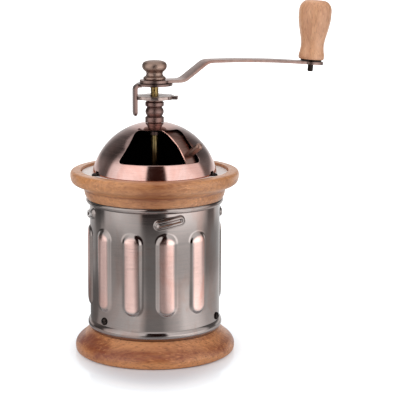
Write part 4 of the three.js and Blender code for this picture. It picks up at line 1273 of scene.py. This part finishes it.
def hopper_funnel():
    rim = RING_BORE - SEAT
    flange = FLANGE_SEAT_RADIUS - SEAT
    corners = [
        (FUNNEL_THROAT, FUNNEL_FOOT), (FUNNEL_FOOT_RADIUS, FUNNEL_FOOT),
        (FUNNEL_FOOT_RADIUS, FUNNEL_FOOT + SHEET), (FUNNEL_THROAT + SHEET, FUNNEL_FOOT + SHEET),
        (rim, FUNNEL_TOP - 2 * SHEET), (rim, FUNNEL_TOP - SHEET), (flange, FUNNEL_TOP - SHEET),
        (flange, FUNNEL_TOP), (rim - SHEET, FUNNEL_TOP), (rim - SHEET, FUNNEL_TOP - 2 * SHEET),
        (FUNNEL_THROAT, FUNNEL_FOOT + 2 * SHEET), (FUNNEL_THROAT, FUNNEL_FOOT),
    ]
    fit(turn("hopper_cone", eased(corners, 0.3), 120), "head", "funnel_steel", FUNNEL_PAINTED_SHADE, "hopper_funnel")


def locking_collar():
    """The flanged skirt under the wooden ring, with a short pin for each ramp."""
    top, wall = RING_BOTTOM - SEAT, COLLAR_RADIUS - SHEET
    corners = [
        (RING_BORE + 2, top - SHEET), (wall, top - SHEET), (wall, top - COLLAR_HEIGHT),
        (COLLAR_RADIUS, top - COLLAR_HEIGHT), (COLLAR_RADIUS, top), (RING_BORE, top), (RING_BORE, top - SHEET),
        (RING_BORE + 2, top - SHEET),
    ]
    collar = turn("collar_skirt", eased(corners, 0.3), 144)
    for number in range(RAMPS):
        x, y = facing(RAMP_TURN + TURN * number / RAMPS, COLLAR_RADIUS - SHEET / 2)
        out = Vector((x, y, 0)).to_track_quat("Z", "Y").to_matrix().to_4x4()
        pin = cylinder("pin", COLLAR_PIN_RADIUS, 0, SHEET / 2 + COLLAR_PIN_REACH, 32)
        combine(collar, placed(pin, Matrix.Translation(Vector((x, y, RAMP_MIDDLE)) * MM) @ out), "UNION")
    soften(collar, 0.12, 2, 50)
    fit(collar, "head", "collar_steel", SHEET_STEEL, "locking_collar")


KEPT_NODES = {
    "canister_floor": SHEET_STEEL,
    "fixed_burr": BURR_IRON,
    "cone_burr": BURR_IRON,
    "bearing_bridge": ZINC_STEEL,
    "burr_spring": ZINC_STEEL,
    "lower_nut": ZINC_STEEL,
    # The stem nut sits inside the hopper and takes the painted shade finish.
    "stem_nut": PAINTED_SHADE_INSIDE,
}


def finish_kept_nodes():
    for name, material in KEPT_NODES.items():
        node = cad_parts[name]
        node.data.materials.clear()
        node.data.materials.append(material)


# Studio

CAMERA_PLACE = (0.0, -1000.0, 295.0)
CAMERA_YAW = math.radians(1.8065)
CAMERA_PITCH = math.radians(10.6971)
CAMERA_ROLL = math.radians(0.2031)
LENS = 131.3
SENSOR = 36.0


def camera():
    data = bpy.data.cameras.new("camera")
    data.lens = LENS
    data.sensor_width = SENSOR
    data.clip_start = 0.05
    item = bpy.data.objects.new("camera", data)
    bpy.context.scene.collection.objects.link(item)
    look = Matrix.Rotation(-CAMERA_YAW, 4, "Z") @ Matrix.Rotation(math.pi / 2 - CAMERA_PITCH, 4, "X")
    item.matrix_world = Matrix.Translation(Vector(CAMERA_PLACE) * MM) @ look @ Matrix.Rotation(CAMERA_ROLL, 4, "Z")
    bpy.context.scene.camera = item


def softbox(name, place, width, height, power):
    """A soft light, in metres and watts, that points at the object and isn't mirrored."""
    data = bpy.data.lights.new(name, "AREA")
    data.shape = "RECTANGLE"
    data.size, data.size_y = width, height
    data.energy = power
    item = bpy.data.objects.new(name, data)
    item.location = place
    item.rotation_euler = (Vector((0, 0, 0.1)) - Vector(place)).to_track_quat("-Z", "Y").to_euler()
    item.visible_glossy = False
    bpy.context.scene.collection.objects.link(item)


# Levels of the light tent that the metal mirrors, by azimuth in degrees from the front: close to the object on its
# floor, near it, far out on its floor, and on its standing cloth
TENT_RADIUS = 1300
TENT_HEIGHT = 1600
TENT_CLOSE = [
    (-180, 0.9), (-158, 0.8), (-146, 0.25), (-124, 0.22), (-107, 0.28), (-100, 0.6), (-84, 0.66), (-60, 0.9),
    (-46, 1.05), (-24, 1.2), (-12, 0.42), (10, 0.42), (20, 0.75), (34, 1.1), (46, 1.8), (68, 1.6), (88, 1.0),
    (118, 0.75), (180, 0.9),
]
TENT_NEAR = [
    (-180, 0.9), (-158, 0.85), (-142, 0.6), (-124, 0.55), (-120, 0.36), (-107, 0.34), (-102, 0.8), (-84, 0.6),
    (-60, 0.58), (-50, 0.95), (-30, 1.0), (-14, 0.36), (4, 0.36), (18, 0.95), (34, 1.0), (64, 1.05), (84, 1.1),
    (94, 0.45), (118, 0.5), (138, 0.55), (160, 0.8), (180, 0.9),
]
TENT_FAR = [
    (-180, 1.0), (-156, 0.9), (-130, 0.8), (-125, 0.1), (-98, 0.08), (-92, 1.1), (-64, 1.75), (-46, 1.4), (-26, 1.0),
    (-20, 0.02), (18, 0.02), (23, 2.2), (44, 2.6), (70, 2.4), (92, 1.5), (105, 0.25), (121, 0.3), (128, 1.1),
    (180, 1.0),
]
TENT_HIGH = [
    (-180, 1.0), (-162, 0.7), (-146, 0.26), (-124, 0.2), (-112, 0.12), (-101, 0.14), (-94, 0.9), (-60, 1.45),
    (-18, 1.45), (-14.5, 0.03), (20, 0.03), (23.5, 1.45), (60, 1.4), (99, 1.0), (106, 0.2), (122, 0.16), (144, 0.24),
    (162, 0.7), (180, 1.0),
]


def light_tent():
    """A white cloth tent that only shows as a reflection: softboxes in it with dark gaps between."""
    cloth = [(TENT_RADIUS, z) for z in (2, 60, 350, TENT_HEIGHT)]
    tent = turn("light_tent", [*[(x, 2) for x in (75, 200, 420, 560)], *cloth], 120)
    lowest = min(tent.data.polygons, key=lambda face: face.center.z)
    if lowest.normal.z < 0:
        flip(tent)
    f = Finish("tent_cloth")
    azimuth = f.sum("ARCTAN2", f.part(f.place, 0), f.sum("MULTIPLY", f.part(f.place, 1), -1.0))
    around = f.spread(azimuth, -math.pi, math.pi, smooth=False)

    def level_around(table):
        ramp = f.add("ShaderNodeValToRGB", {0: around})
        stops = ramp.color_ramp.elements
        while len(stops) < len(table):
            stops.new(0.5)
        for stop, (degrees, level) in zip(stops, table):
            stop.position = degrees / 360 + 0.5
            warm = 1.0 if level > 0.06 else 0.35
            stop.color = (level / 2, level / 2 * warm, level / 2 * warm**1.3, 1)
        return ramp.outputs[0]

    out = f.radius()
    level = f.blend(f.spread(out, 200, 300), level_around(TENT_CLOSE), level_around(TENT_NEAR))
    level = f.blend(f.spread(out, 420, 560), level, level_around(TENT_FAR))
    level = f.blend(f.spread(f.height(), 40, 350), level, level_around(TENT_HIGH))
    glow = f.add("ShaderNodeEmission", {"Color": level, "Strength": 2.0})
    clear = f.add("ShaderNodeBsdfTransparent")
    back = f.add("ShaderNodeNewGeometry").outputs["Backfacing"]
    f.nodes.remove(f.shader)
    f.end(f.mix(back, glow.outputs[0], clear.outputs[0]))
    tent.data.materials.append(f.material)
    tent.visible_camera = False
    tent.visible_diffuse = False
    tent.visible_shadow = False
    tent.visible_transmission = False


def studio_floor():
    floor = add_shape("floor", bpy.ops.mesh.primitive_plane_add, size=24, location=(0, 0, -0.0002))
    f = Finish("studio_floor")
    f.set(Base_Color=(0.84, 0.88, 0.94, 1), Roughness=0.06)
    seen = f.add("ShaderNodeLightPath").outputs["Is Camera Ray"]
    away = f.radius(f.mapped((1.16, 0.7, 1)))
    near = f.spread(away, BASE_RADIUS - 10, BASE_RADIUS + 26, 0.0, 0.46)
    share = f.sum("ADD", near, f.spread(away, 150, 320, 0.0, 0.5))
    share = f.sum("MULTIPLY", seen, share)
    glow = f.add("ShaderNodeEmission", {"Strength": FLOOR_GLOW})
    f.end(f.mix(share, f.shader.outputs[0], glow.outputs[0]))
    floor.data.materials.append(f.material)


def studio_world():
    """White where it is seen or mirrored, and a plain soft level for the light that it gives."""
    world = bpy.data.worlds.new("studio")
    bpy.context.scene.world = world
    world.cycles.sampling_method = "NONE"
    w = Nodes(world, "ShaderNodeOutputWorld")
    path = w.add("ShaderNodeLightPath").outputs
    seen = w.sum("MAXIMUM", path["Is Camera Ray"], path["Is Glossy Ray"])
    seen = w.sum("MAXIMUM", seen, path["Is Transmission Ray"])
    soft, white = (w.add("ShaderNodeBackground", {"Color": (1, 1, 1, 1), "Strength": v}) for v in (0.55, 1.0))
    w.end(w.mix(seen, soft.outputs[0], white.outputs[0]))


camera()
wooden_base()
canister()
canister_screws()
wooden_ring()
top_plate()
dome()
shutter()
shutter_peg()
dome_screws()
stem()
threaded_rod()
adjusting_disc()
lock_clip()
crank()
cap_nut()
grip()
pin_and_washer()
hopper_funnel()
locking_collar()
finish_kept_nodes()
studio_floor()
studio_world()
softbox("left_softbox", (-0.95, -0.75, 0.75), 0.7, 1.0, 5.0)
softbox("right_softbox", (1.0, -0.6, 0.6), 0.6, 1.0, 3.0)
softbox("top_softbox", (0.0, 0.1, 1.3), 0.9, 0.9, 3.0)
light_tent()

bpy.context.scene.view_settings.view_transform = "Standard"
